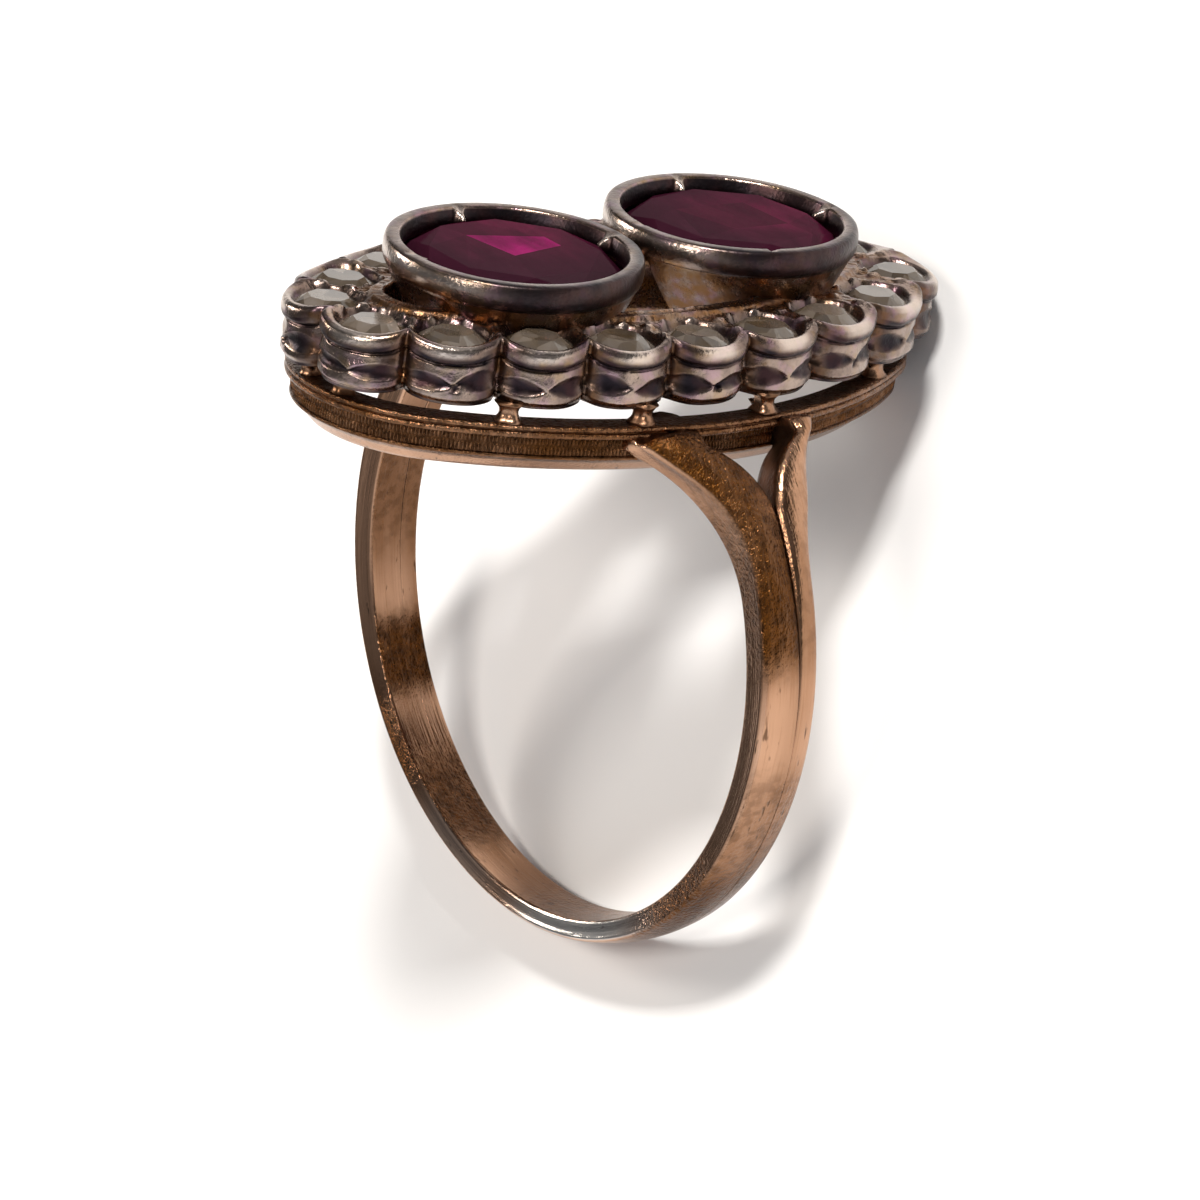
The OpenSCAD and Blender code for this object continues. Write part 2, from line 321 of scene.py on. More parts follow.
def write_colours(mesh: bpy.types.Mesh, name: str, domain: str, channels: Array) -> None:
    """Writes a colour attribute.

    Args:
        mesh: the mesh.
        name: name of the attribute.
        domain: POINT or CORNER.
        channels: array (places, 3 or 4), clipped to 0 to 1.
    """
    colours = np.zeros((len(channels), 4))
    colours[:, :channels.shape[-1]] = np.clip(channels, 0, 1)
    layer = mesh.color_attributes.new(name, "FLOAT_COLOR", domain)
    layer.data.foreach_set("color", colours.ravel())


def surface(name: str, points: Array, patina_and_painted_light: Array | None = None, wrap_u: bool = True,
            wrap_v: bool = True, flow: Array | None = None) -> Piece:
    """Makes a mesh of one grid of points, or of several grids of one size.

    Formula: corner (i, j) of a grid joins (i + 1, j), (i + 1, j + 1) and (i, j + 1); an open
    first direction is closed by a flat face at both ends.

    Args:
        name: name of the object.
        points: array (nu, nv, 3) or (grids, nu, nv, 3), in metres.
        patina_and_painted_light: array of the same places with tarnish and painted shade, stain,
            wear and painted highlight and, on gold, painted grey reflection, 0 to 1.
        wrap_u: the first direction closes on itself.
        wrap_v: the second direction closes on itself.
        flow: array of the same shape with the coordinates that the finish follows, in
            millimetres; the points themselves when left out.

    Returns:
        The object, at the origin, with its faces pointing out.
    """
    if points.ndim == 3:
        points = points[None]
    grids, nu, nv = points.shape[:3]
    i = np.arange(nu if wrap_u else nu - 1)
    j = np.arange(nv if wrap_v else nv - 1)
    a = (i[:, None] * nv + j[None]).ravel()
    b = (((i + 1) % nu)[:, None] * nv + j[None]).ravel()
    c = (((i + 1) % nu)[:, None] * nv + ((j + 1) % nv)[None]).ravel()
    d = (i[:, None] * nv + ((j + 1) % nv)[None]).ravel()
    quads = np.stack([a, b, c, d], 1)
    flat = points.reshape(grids, -1, 3)
    one = flat[0] - flat[0].mean(0)
    p, q, r, t = (one[quads[:, k]] for k in range(4))
    volume = (np.cross(p, q) * r).sum() + (np.cross(p, r) * t).sum()
    if volume < 0:
        quads = quads[:, ::-1]
    every = (quads[None] + (np.arange(grids) * nu * nv)[:, None, None]).reshape(-1, 4)
    faces = every.tolist()
    if not wrap_u and wrap_v:
        ring = np.arange(nv)
        first, last = (ring, ring[::-1]) if volume > 0 else (ring[::-1], ring)
        for g in range(grids):
            faces += [(first + g * nu * nv).tolist(), (last + (g * nu + nu - 1) * nv).tolist()]
    mesh = bpy.data.meshes.new(name)
    mesh.from_pydata(flat.reshape(-1, 3).tolist(), [], faces)
    mesh.polygons.foreach_set("use_smooth", np.ones(len(faces), bool))
    if patina_and_painted_light is not None:
        write_colours(mesh, "patina_and_painted_light", "POINT", patina_and_painted_light.reshape(-1, patina_and_painted_light.shape[-1]))
    along = mesh.attributes.new("flow", "FLOAT_VECTOR", "POINT")
    along.data.foreach_set("vector", (points / MM if flow is None else flow).ravel())
    mesh.update()
    return linked(name, mesh)


def rounded_loop(half_w: Array, half_h: Array, fillets: Array, flat: int, arc: int = 6) -> Array:
    """Closed section with four rounded corners, for each place on a path.

    Formula: four straight runs joined by quarter circles whose centres lie one fillet in
    from each corner.

    Args:
        half_w: half width at each place, array (n,).
        half_h: half height at each place, array (n,).
        fillets: radius of each corner (top right, bottom right, bottom left, top left),
            array (n, 4).
        flat: points along each straight run.
        arc: points round each corner.

    Returns:
        Array (n, points, 2), going clockwise from the top left corner.
    """
    signs = ((1, 1, 90.0), (1, -1, 0.0), (-1, -1, -90.0), (-1, 1, -180.0))
    runs = []
    for k, (sx, sy, start) in enumerate(signs):
        f = fillets[:, k, None]
        centre_x, centre_y = sx * (half_w[:, None] - f), sy * (half_h[:, None] - f)
        angle = np.radians(start - np.linspace(0, 90, arc))[None]
        runs.append(np.stack([centre_x + f * np.cos(angle), centre_y + f * np.sin(angle)], -1))
    out = []
    for k in range(4):
        begin, end = runs[k - 1][:, -1:], runs[k][:, :1]
        t = np.linspace(0, 1, flat + 2)[1:-1][None, :, None]
        out += [begin + (end - begin) * t, runs[k]]
    return np.concatenate(out, 1)


class Slot(Enum):
    """Material slots of the record."""

    GOLD = "rose_gold"
    SILVER = "old_silver"
    TOURMALINE = "tourmaline"


# ---------------------------------------------------------------- finishes


@dataclass
class Nodes:
    """Short way to build one material's node tree."""

    material: Material
    tree: bpy.types.NodeTree = field(init=False)

    def __post_init__(self) -> None:
        """Clears the tree."""
        self.material.use_nodes = True
        self.tree = self.material.node_tree
        self.tree.nodes.clear()

    def add(self, kind: str, sockets: dict | None = None, **settings: object) -> bpy.types.Node:
        """Adds a node.

        Args:
            kind: the node's type, without the word ShaderNode.
            sockets: values or output sockets for inputs, by name or number.
            settings: properties of the node.

        Returns:
            The node.
        """
        node = self.tree.nodes.new("ShaderNode" + kind)
        for key, value in settings.items():
            setattr(node, key, value)
        for key, value in (sockets or {}).items():
            if isinstance(value, Socket):
                self.tree.links.new(value, node.inputs[key])
            else:
                node.inputs[key].default_value = value
        return node

    def mix(self, factor: object, a: object, b: object) -> Socket:
        """Mixes two colours, each a socket or a value, and returns the result's socket."""
        return self.add("Mix", {0: factor, 6: a, 7: b}, data_type="RGBA").outputs[2]

    def math(self, kind: str, *values: object) -> Socket:
        """One Math node, whose inputs are sockets or numbers; returns its output socket."""
        return self.add("Math", dict(enumerate(values)), operation=kind).outputs[0]

    def times(self, a: object, b: object) -> Socket:
        """Product of two values, each a socket or a number."""
        return self.math("MULTIPLY", a, b)

    def over(self, base: object, value: object, amount: object, colour: tuple) -> Socket:
        """Lays a colour over a base by value times amount, and returns the result."""
        return self.mix(self.times(value, amount), base, colour)

    def patina_and_painted_light(self) -> tuple[Socket, ...]:
        """Sockets of the attribute patina_and_painted_light: tarnish and painted shade, stain, wear
        and painted highlight, and painted grey reflection.
        """
        layer = self.add("Attribute", attribute_name="patina_and_painted_light")
        parts = self.add("SeparateColor", {"Color": layer.outputs["Color"]}).outputs
        return parts[0], parts[1], parts[2], layer.outputs["Alpha"]

    def object_mm(self, stretch: tuple = (1, 1, 1)) -> Socket:
        """Object coordinates in millimetres, each axis times its stretch."""
        where = self.add("TexCoord").outputs["Object"]
        scale = tuple(s / MM for s in stretch)
        return self.add("Mapping", {"Vector": where, "Scale": scale}).outputs[0]

    def noise(self, scale: float, detail: float = 3.0, stretch: tuple = (1, 1, 1),
              flow: bool = False) -> Socket:
        """Noise in millimetres, on the attribute flow or on Object coordinates.

        Args:
            scale: waves a millimetre.
            detail: octaves.
            stretch: factor of each axis.
            flow: follow the attribute flow.

        Returns:
            The noise's value.
        """
        if flow:
            where = self.add("Attribute", attribute_name="flow").outputs["Vector"]
            where = self.add("Mapping", {"Vector": where, "Scale": stretch}).outputs[0]
        else:
            where = self.object_mm(stretch)
        made = self.add("TexNoise", {"Vector": where, "Scale": scale, "Detail": detail})
        return made.outputs["Fac"]

    def cells(self, scale: float) -> Socket:
        """Random tone of crisp cells in Object coordinates, like facets seen through a stone.

        Args:
            scale: cells a millimetre.

        Returns:
            A value from 0 to 1, the same all over a cell.
        """
        made = self.add("TexVoronoi", {"Vector": self.object_mm(), "Scale": scale})
        return self.add("SeparateColor", {"Color": made.outputs["Color"]}).outputs[0]

    def ramp(self, value: Socket, low: float, high: float) -> Socket:
        """Stretches a value so that low becomes 0 and high 1, and returns the result."""
        node = self.add("MapRange", {"Value": value, "From Min": low, "From Max": high})
        return node.outputs[0]

    def bump(self, height: object, distance: float, strength: object) -> Socket:
        """Normal of a bump, with its distance in metres."""
        made = self.add("Bump", {"Height": height, "Distance": distance, "Strength": strength})
        return made.outputs[0]

    def output(self, shader: bpy.types.Node) -> Material:
        """Joins a shader to the output and returns the material."""
        self.add("OutputMaterial", {"Surface": shader.outputs[0]})
        return self.material

    def metal(self, base: object, rough: object, normal: object) -> Material:
        """Joins a metal's shader to the output and returns the material."""
        return self.output(self.add("BsdfPrincipled", {
            "Base Color": base, "Roughness": rough, "Metallic": 1.0, "Normal": normal}))


@dataclass(frozen=True)
class RoseGold:
    """Worn rose gold: brown film with painted dark reflection over a soft scratched surface, bright
    where it wears and where a highlight is painted.

    Attributes:
        bright, film: the two tones that cloud the surface.
        brown: crumbly film, and painted dark reflection, where the attribute says so.
        painted_sheen: painted grey reflection on the side faces.
        dirt: grooves, pits, grime, and painted shade in recesses and under the head.
    """

    name: str = "worn_rose_gold"
    bright: tuple = (0.59, 0.35, 0.225, 1)
    film: tuple = (0.25, 0.115, 0.05, 1)
    brown: tuple = (0.105, 0.038, 0.008, 1)
    painted_sheen: tuple = (0.68, 0.66, 0.63, 1)
    dirt: tuple = (0.030, 0.012, 0.004, 1)

    def make(self) -> Material:
        """Builds the material."""
        n = Nodes(bpy.data.materials.new(self.name))
        # The first channel holds dirt and painted shade, the third wear and painted highlight, the
        # fourth painted grey reflection.
        dirt_and_shade, brown, clean_and_highlight, painted_sheen = n.patina_and_painted_light()
        cloud = n.ramp(n.noise(0.55, 3, flow=True), 0.32, 0.70)
        fine = n.noise(8, 5, flow=True)
        scratch = n.noise(2.5, 3, (0.5, 7, 7), flow=True)
        pits = n.ramp(n.noise(6, 2, flow=True), 0.66, 0.74)
        blotch = n.ramp(n.noise(1.1, 4, flow=True), 0.3, 0.7)
        grime = n.times(n.ramp(n.noise(3.5, 4), 0.45, 0.6), brown)
        base = n.mix(cloud, self.bright, self.film)
        base = n.mix(clean_and_highlight, base, self.bright)
        base = n.over(base, brown, n.math("MULTIPLY_ADD", blotch, 0.3, 0.85), self.brown)
        base = n.over(base, grime, 0.65, self.dirt)
        base = n.over(base, n.ramp(scratch, 0.5, 0.72), 0.35, self.film)
        base = n.mix(painted_sheen, base, self.painted_sheen)
        base = n.mix(n.math("MAXIMUM", dirt_and_shade, n.times(pits, 0.7)), base, self.dirt)
        rough = n.math("ADD", n.math("MULTIPLY_ADD", cloud, 0.07, 0.11), n.times(fine, 0.10))
        rough = n.math("MULTIPLY_ADD", dirt_and_shade, 0.25, rough)
        height = n.math("MULTIPLY_ADD", scratch, 0.6, n.times(fine, 0.4))
        height = n.math("SUBTRACT", height, n.times(pits, 0.4))
        height = n.math("ADD", height, n.times(n.ramp(n.noise(9, 3), 0.3, 0.7), brown))
        work = n.math("MULTIPLY_ADD", brown, 0.6, 0.35)
        return n.metal(base, rough, n.bump(height, 0.00004, work))


@dataclass(frozen=True)
class OldSilver:
    """Hand cut silver: ridges worn bright with painted highlights, purple-brown tarnish in the cuts
    with painted shade, gold stains.

    Attributes:
        bright: ridges worn bright, and painted highlights.
        plain, grey: the two tones that cloud the surface.
        tarnish, plum: the two tones of the cuts and of the painted shade and dark reflection.
        violet, straw: thin films.
        stain: gold stains where the patina says so.
    """

    name: str = "old_silver"
    bright: tuple = (0.78, 0.68, 0.60, 1)
    plain: tuple = (0.345, 0.255, 0.208, 1)
    grey: tuple = (0.155, 0.102, 0.082, 1)
    tarnish: tuple = (0.020, 0.016, 0.020, 1)
    plum: tuple = (0.036, 0.019, 0.021, 1)
    violet: tuple = (0.34, 0.19, 0.27, 1)
    straw: tuple = (0.30, 0.19, 0.08, 1)
    stain: tuple = (0.27, 0.125, 0.038, 1)

    def make(self) -> Material:
        """Builds the material."""
        n = Nodes(bpy.data.materials.new(self.name))
        # The first channel holds tarnish and painted shade, the third wear and painted highlight.
        dark, stained, rubbed_and_highlight, _ = n.patina_and_painted_light()
        cloud = n.ramp(n.noise(1.3, 5), 0.38, 0.64)
        fine = n.noise(11, 5)
        base = n.mix(cloud, self.plain, self.grey)
        base = n.over(base, n.ramp(fine, 0.52, 0.7), 0.4, self.tarnish)
        base = n.over(base, n.ramp(n.noise(1.9, 3), 0.52, 0.66), 0.55, self.violet)
        base = n.over(base, n.ramp(n.noise(2.3, 4), 0.54, 0.68), 0.5, self.straw)
        base = n.over(base, stained, n.ramp(n.noise(2.6, 3), 0.3, 0.6), self.stain)
        base = n.over(base, rubbed_and_highlight, 0.9, self.bright)
        deep = n.mix(n.ramp(n.noise(1.4, 3), 0.42, 0.62), self.tarnish, self.plum)
        base = n.mix(dark, base, deep)
        rough = n.math("ADD", n.math("MULTIPLY_ADD", cloud, 0.08, 0.12), n.times(fine, 0.12))
        rough = n.math("MULTIPLY_ADD", dark, 0.15, rough)
        rough = n.math("MULTIPLY_ADD", rubbed_and_highlight, -0.05, rough)
        height = n.math("MULTIPLY_ADD", n.noise(4, 4), 0.6, n.times(fine, 0.4))
        return n.metal(base, rough, n.bump(height, 0.00005, 0.5))


@dataclass(frozen=True)
class PlumStone:
    """Plum red tourmaline, its facets' light and shade painted on: streaked, dark at the rim."""

    name: str = "plum_tourmaline"
    streak: tuple = (0.022, 0.004, 0.010, 1)
    facet: tuple = (0.026, 0.004, 0.011, 1)
    shine: float = 0.014

    def make(self) -> Material:
        """Builds the material; each facet's painted light and shade comes from the attribute facet,
        and crisp cells add painted facets inside.
        """
        n = Nodes(bpy.data.materials.new(self.name))
        facet = n.add("Attribute", attribute_name="facet").outputs["Color"]
        streak = n.ramp(n.noise(1.6, 4, (1.0, 0.35, 1.0)), 0.36, 0.68)
        base = n.over(n.over(facet, streak, 0.6, self.streak), n.cells(0.55), 0.45, self.facet)
        body = n.add("BsdfDiffuse", {"Color": base})
        normal = n.bump(n.noise(6, 3), 0.00001, 0.2)
        gloss = n.add("BsdfGlossy", {"Roughness": 0.06, "Normal": normal})
        both = {0: self.shine, 1: body.outputs[0], 2: gloss.outputs[0]}
        return n.output(n.add("MixShader", both))


@dataclass(frozen=True)
class OldDiamond:
    """Small old cut diamond, lacking brilliance and a little yellow, with a few glints; its facets'
    light and shade are painted as pale and deep cells.
    """

    name: str = "old_diamond"
    pale: tuple = (0.145, 0.12, 0.10, 1)
    deep: tuple = (0.034, 0.025, 0.018, 1)
    yellow: tuple = (0.085, 0.055, 0.024, 1)

    def make(self) -> Material:
        """Builds the material."""
        n = Nodes(bpy.data.materials.new(self.name))
        # Pale and deep cells: painted light and shade of the facets.
        base = n.mix(n.cells(1.7), self.pale, self.deep)
        base = n.over(base, n.ramp(n.noise(1.8, 4), 0.35, 0.66), 0.45, self.yellow)
        return n.output(n.add("BsdfPrincipled", {
            "Base Color": base, "Roughness": 0.10, "IOR": 1.6, "Specular IOR Level": 0.4}))


@dataclass(frozen=True)
class FloorPaint:
    """Plain pale floor."""

    name: str = "pale_floor"
    pale: tuple = (0.9, 0.9, 0.9, 1)
    paler: tuple = (0.93, 0.93, 0.93, 1)

    def make(self) -> Material:
        """Builds the material."""
        n = Nodes(bpy.data.materials.new(self.name))
        base = n.mix(n.noise(0.05, 2), self.pale, self.paler)
        return n.output(n.add("BsdfPrincipled", {"Base Color": base, "Roughness": 0.9}))


def dressed(piece: Piece, finish: Material, node: str) -> Piece:
    """Gives a piece its finish, its body and the solid that it stands for.

    Args:
        piece: the piece.
        finish: its material.
        node: name of the solid that it replaces.

    Returns:
        The same piece.
    """
    piece.data.materials.append(finish)
    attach(piece, "root")
    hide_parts(node)
    return piece


# ---------------------------------------------------------------- shank


@dataclass(frozen=True)
class ArmEnd:
    """End of an arm on the gallery: places are shares of the strand, sizes are in mm.

    Attributes:
        slant: degrees by which the finger's side of the side face stops short.
        flare: where the arm starts and stops to widen or narrow.
        front_out: how far the front arm's outer face widens.
        front_in: how far its finger's side narrows.
        back_in: how far the other arm narrows.
        tip_from: where the tip starts to round off sideways, by tip_in.
        cap_from: where the outer face starts to round off, by cap_drop.
        edge_from: where the side edge starts to fall away, by edge_drop.
    """

    slant: float = 4.0
    flare: tuple[float, float] = (0.86, 0.97)
    front_out: float = 0.14
    front_in: float = 0.05
    back_in: float = 0.30
    tip_from: float = 0.93
    tip_in: float = 0.55
    cap_from: float = 0.972
    cap_drop: float = 0.17
    edge_from: float = 0.88
    edge_drop: float = 0.22

    def short(self, end: Array, a: Array, b: Array) -> Array:
        """Angle, radians, by which the side face's lower part stops short."""
        open_up = smooth(end, self.flare[0], 1.0)
        return math.radians(self.slant) * open_up * (1 - b) * smooth(a, -0.4, 0.9)

    def sideways(self, end: Array, b: Array, side: int) -> Array:
        """How far the outside edge moves out: the flare less a quarter circle at the tip."""
        if side < 0:
            flare = self.front_out * smooth(b, 0.2, 0.8) - self.front_in * (1 - smooth(b, 0.0, 0.5))
        else:
            flare = -self.back_in
        tip = np.minimum(np.clip((end - self.tip_from) / (1 - self.tip_from), 0, 1), 0.995)
        return flare * smooth(end, *self.flare) - self.tip_in * smooth(b, 0.15, 0.7) * rounding(tip)

    def fall(self, end: Array, a: Array) -> Array:
        """How far the outer face falls: a quarter circle at its end, and its side edge."""
        cap = np.clip((end - self.cap_from) / (1 - self.cap_from), 0, 1)
        edge = smooth(end, self.edge_from, 1.0) * smooth(a, 0.3, 1.0) ** 2
        return self.cap_drop * rounding(np.minimum(cap, 0.999)) + self.edge_drop * edge


@dataclass(frozen=True)
class Shank:
    """Band with forked shoulders: two strands side by side that part at the shoulders.

    Attributes:
        centre: middle of the outer face's circle, from the middle of the hole.
        half_in, half_out: half widths of the band at the finger's and at the outer face.
        fork_at, fork_r: angle and radius from which the fork is measured.
        fork_start, fork_curve, fork_limit: start, radius and most of the widening.
        slot_start, slot_curve, slot_half: the same for the split.
        knee, whole: degrees at which the rows start to fan out, and of the last row.
        fillets: radius of each corner of the section, and what the open split adds.
        open_span, arm_span: degrees over which the split opens and the arms get their dome.
        arm_dome: fall of an arm's outer face in its middle, and what its edges add.
        side_brown and the tuples below it: patches of each face as patches() reads them: brown film
            with painted dark reflection, wear with painted highlight, and painted grey reflection.
    """

    frames: Frames
    hole_r: float = 8.5
    outer_r: float = 9.48
    centre: tuple[float, float] = (0.0624, 0.2934)
    half_in: float = 0.8
    half_out: float = 0.93
    crown: float = 0.16
    fork_at: float = 130.0
    fork_r: float = 9.1
    fork_start: float = -2.6
    fork_curve: float = 5.6
    fork_limit: float = 2.4
    slot_start: float = -0.95
    slot_curve: float = 2.8
    slot_half: float = 1.45
    split_y: float = 0.22
    top: float = 7.42
    top_r: float = 9.42
    knee: float = 118.0
    whole: float = 148.0
    rows: int = 420
    wavy: float = 0.010
    fillets: tuple = ((0.13, 0.0), (0.09, 0.0), (0.004, 0.08), (0.004, 0.17))
    open_span: tuple[float, float] = (80, 122)
    arm_span: tuple[float, float] = (98, 126)
    arm_dome: tuple[float, float] = (0.03, 0.13)
    groove_half: float = 0.16
    web_span: tuple[float, float] = (119.5, 128.2)
    web_r: float = 9.0
    web_over: float = 0.16
    web_half: float = 0.26
    web_up: float = 0.27
    arm_end: ArmEnd = ArmEnd()
    # Patches by angle: brown is film and painted dark reflection, the bright ones are wear and
    # painted highlight, the grey ones painted reflection on the side face.
    side_brown: tuple = ((-45, 10, 0.95), (50, 14, 0.7), (118, 16, 0.6))
    side_clean_and_highlight: tuple = ((-82, 24, 0.6), (86, 14, 0.6))
    side_painted_sheen: tuple = ((-20, 12, 0.3), (18, 19, 1.0))
    inner_brown: tuple = ((-97, 16, 0.5), (-61, 8, 1.1), (-30, 12, 0.85), (20, 22, 0.55),
                          (110, 40, 0.6))
    outer_brown: tuple = ((48, 18, 0.9), (75, 9, 0.5))
    outer_clean_and_highlight: tuple = ((-90, 40, 0.6), (90, 12, 0.5))

    def reach(self, angle: Array) -> Array:
        """Radius of the outer face at an angle from the bottom of the band.

        Formula: the ray from the hole's middle meets a circle of radius outer_r whose middle
        lies a little up and to one side.
        """
        dx, dz = np.sin(angle), -np.cos(angle)
        along = self.centre[0] * dx + self.centre[1] * dz
        across = self.centre[0] * dz - self.centre[1] * dx
        return along + np.sqrt(self.outer_r ** 2 - across ** 2)

    def fork(self, x: Array) -> Array:
        """How much wider the shoulder is than the band, x mm up from the fork's middle.

        Formula: a circle of radius fork_curve that touches the band at fork_start.
        """
        t = np.clip(x - self.fork_start, 0, self.fork_curve * 0.93)
        return np.minimum(self.fork_curve - np.sqrt(self.fork_curve ** 2 - t * t), self.fork_limit)

    def slot(self, x: Array) -> Array:
        """Half width of the split, x mm up from the fork's middle.

        Formula: a circle of radius slot_curve that touches the middle line at slot_start.
        """
        t = np.clip(x - self.slot_start, 0, self.slot_curve * 0.99)
        return np.minimum(self.slot_curve - np.sqrt(self.slot_curve ** 2 - t * t), self.slot_half)

    def fan(self) -> tuple[Array, Array]:
        """Angles of the inner and outer face at each row, fanned out above the knee so that
        the last row lies level at the top.

        Returns:
            Two arrays (rows,) of signed angles, radians.
        """
        p = np.linspace(-1, 1, self.rows)
        knee, share = math.radians(self.knee), self.knee / self.whole
        up = np.clip((np.abs(p) - share) / (1 - share), 0, 1)
        low = np.minimum(np.abs(p) / share, 1) * knee
        radii = (self.hole_r, self.top_r)
        inner, outer = (low + up * (math.acos(-self.top / r) - knee) for r in radii)
        return np.sign(p) * inner, np.sign(p) * outer

    def strand(self, side: int) -> tuple[Array, Array, Array]:
        """One strand of the band.

        Formula: a rounded section between the finger and the outer face, carried round the
        hole. Its outside edge follows the band and then the fork; its inside edge follows
        the middle line and then the split. The outer face is domed over the whole band below
        and over each arm above.

        Args:
            side: -1 for the strand towards the front, 1 for the other.

        Returns:
            Points (rows, section, 3) in metres, their patina and the flow of their finish,
            which runs along the band.
        """
        t_in, t_out = self.fan()
        mid = np.abs(t_in + t_out) / 2
        x_mid = self.fork_r * np.sin(mid - math.radians(self.fork_at))
        wide = (self.half_in + self.half_out) / 2 + self.fork(x_mid)
        half_w = (wide - side * (self.split_y + side * self.slot(x_mid))) / 2
        half_h = (self.reach(t_out) - self.hole_r) / 2
        open_by = smooth(np.degrees(mid), *self.open_span)
        soft = [fillet + more * open_by for fillet, more in self.fillets]
        loop = rounded_loop(half_w, half_h, np.stack(soft, 1), flat=9)
        a = loop[..., 0] / half_w[:, None]
        b = (loop[..., 1] / half_h[:, None] + 1) / 2
        end = np.abs(np.linspace(-1, 1, self.rows))[:, None]
        angle = np.abs((1 - b) * t_in[:, None] + b * t_out[:, None]) - self.arm_end.short(end, a, b)
        angle = np.sign(t_in)[:, None] * angle
        at = np.degrees(np.abs(angle))
        reach = self.reach(angle) - self.hole_r
        x = (self.hole_r + b * reach) * np.sin(np.abs(angle) - math.radians(self.fork_at))
        out_y = self.half_in + (self.half_out - self.half_in) * b + self.fork(x)
        out_y = out_y + self.arm_end.sideways(end, b, side)
        in_y = side * self.split_y + self.slot(x)
        y = in_y + (out_y - in_y) * (a + 1) / 2
        arm = smooth(at, *self.arm_span)
        over_band = self.crown * (y / self.half_out) ** 2
        middle, edges = self.arm_dome
        over_arm = middle + edges * ((2 * y - out_y - in_y) / (out_y - in_y)) ** 2
        dome = (1 - arm) * over_band + arm * over_arm + self.arm_end.fall(end, a)
        loops = np.linspace(0, 2 * math.pi, loop.shape[1], endpoint=False)[None]
        uneven = self.wavy * (ripple(angle, loops + side, 4 + side) - 1)
        r = self.hole_r + b * reach - dome * smooth(b, 0.35, 1.0) + uneven * b
        flow = np.stack([2.4 * angle, r, side * y], -1)
        y = side * (y + self.wavy * ripple(angle, 0 * y, 9))
        points = placed(self.frames.floor, np.stack([r * np.sin(angle), y, -r * np.cos(angle)], -1))
        groove = bell(a, -1, self.groove_half) * smooth(b, 0.55, 0.95)
        groove = groove * open_by[:, None] * (1 - arm * 0.8)
        dirt = np.maximum(groove, smooth(at, 112, 140) * (a < -0.93) * 0.75)
        return points, self.paint(side, np.degrees(angle), a, b, dirt), flow

    def paint(self, side: int, at: Array, a: Array, b: Array, dirt: Array) -> Array:
        """Tarnish, brown film with painted dark reflection, wear with painted highlight, and
        painted grey reflection of one strand.

        Formula: each face (finger's, side and outer) has its own patches along the angle,
        weighted by how much a place belongs to the face; the ridges are made bright, as wear and
        painted highlight.

        Args:
            side: -1 for the strand towards the front.
            at: angle from the band's bottom, degrees.
            a: place across the strand, 1 at its side face.
            b: place from the finger's face, 0, to the outer face, 1.
            dirt: tarnish in the split's groove and on its inner walls.

        Returns:
            Array with four channels.
        """
        flank = smooth(a, 0.93, 0.99)
        finger = (1 - flank) * (b < 0.2)
        outer = (1 - flank) * (b > 0.5)
        arm = smooth(np.abs(at), 97, 106) * (0.95 if side < 0 else 0.3)
        brown = flank * patches(at, self.side_brown) + finger * patches(at, self.inner_brown)
        brown = brown + outer * np.maximum(patches(at, self.outer_brown), arm)
        clean_and_highlight = flank * patches(at, self.side_clean_and_highlight) + outer * patches(at, self.outer_clean_and_highlight)
        # Ridges: bright from wear and from painted highlight.
        ridge = bell(a, 1, 0.07) * smooth(b, 0.8, 1.0) * 0.8
        inner_ridge = bell(a, -1, 0.10) * smooth(b, 0.85, 1.0) * smooth(np.abs(at), 120, 128) * 0.7
        clean_and_highlight = np.maximum(clean_and_highlight, np.maximum(ridge, inner_ridge))
        return np.stack([dirt, brown, clean_and_highlight, flank * patches(at, self.side_painted_sheen)], -1)

    def web(self) -> Array:
        """Thin floor of the split where it starts.

        Formula: a strip at the finger's radius, as wide as the split, with rounded section.
        """
        angle = np.radians(np.linspace(*self.web_span, 14))
        up = self.web_r * np.sin(angle - math.radians(self.fork_at))
        wide = self.slot(up) + self.web_over
        fillets = np.full((len(angle), 4), 0.04)
        loop = rounded_loop(wide, self.web_half + 0 * angle, fillets, flat=3, arc=3)
        r = self.hole_r + self.web_up + loop[..., 1]
        x, z = r * np.sin(angle)[:, None], -r * np.cos(angle)[:, None]
        right, left = (np.stack([s * x, self.split_y + loop[..., 0], z], -1) for s in (1, -1))
        return placed(self.frames.floor, np.stack([right, left[:, ::-1]]))

    def build(self, gold: Material) -> list[Piece]:
        """Builds both strands and the web between them."""
        pieces = []
        for side, name in ((-1, "band_strand_front"), (1, "band_strand_back")):
            points, patina_and_painted_light, flow = self.strand(side)
            made = surface(name, points, patina_and_painted_light, wrap_u=False, flow=flow)
            pieces.append(dressed(made, gold, "shank"))
        web = self.web()
        web = surface("split_web", web, np.zeros(web.shape) + (0.6, 0, 0), wrap_u=False)
        return pieces + [dressed(web, gold, "shank")]


# ---------------------------------------------------------------- gallery


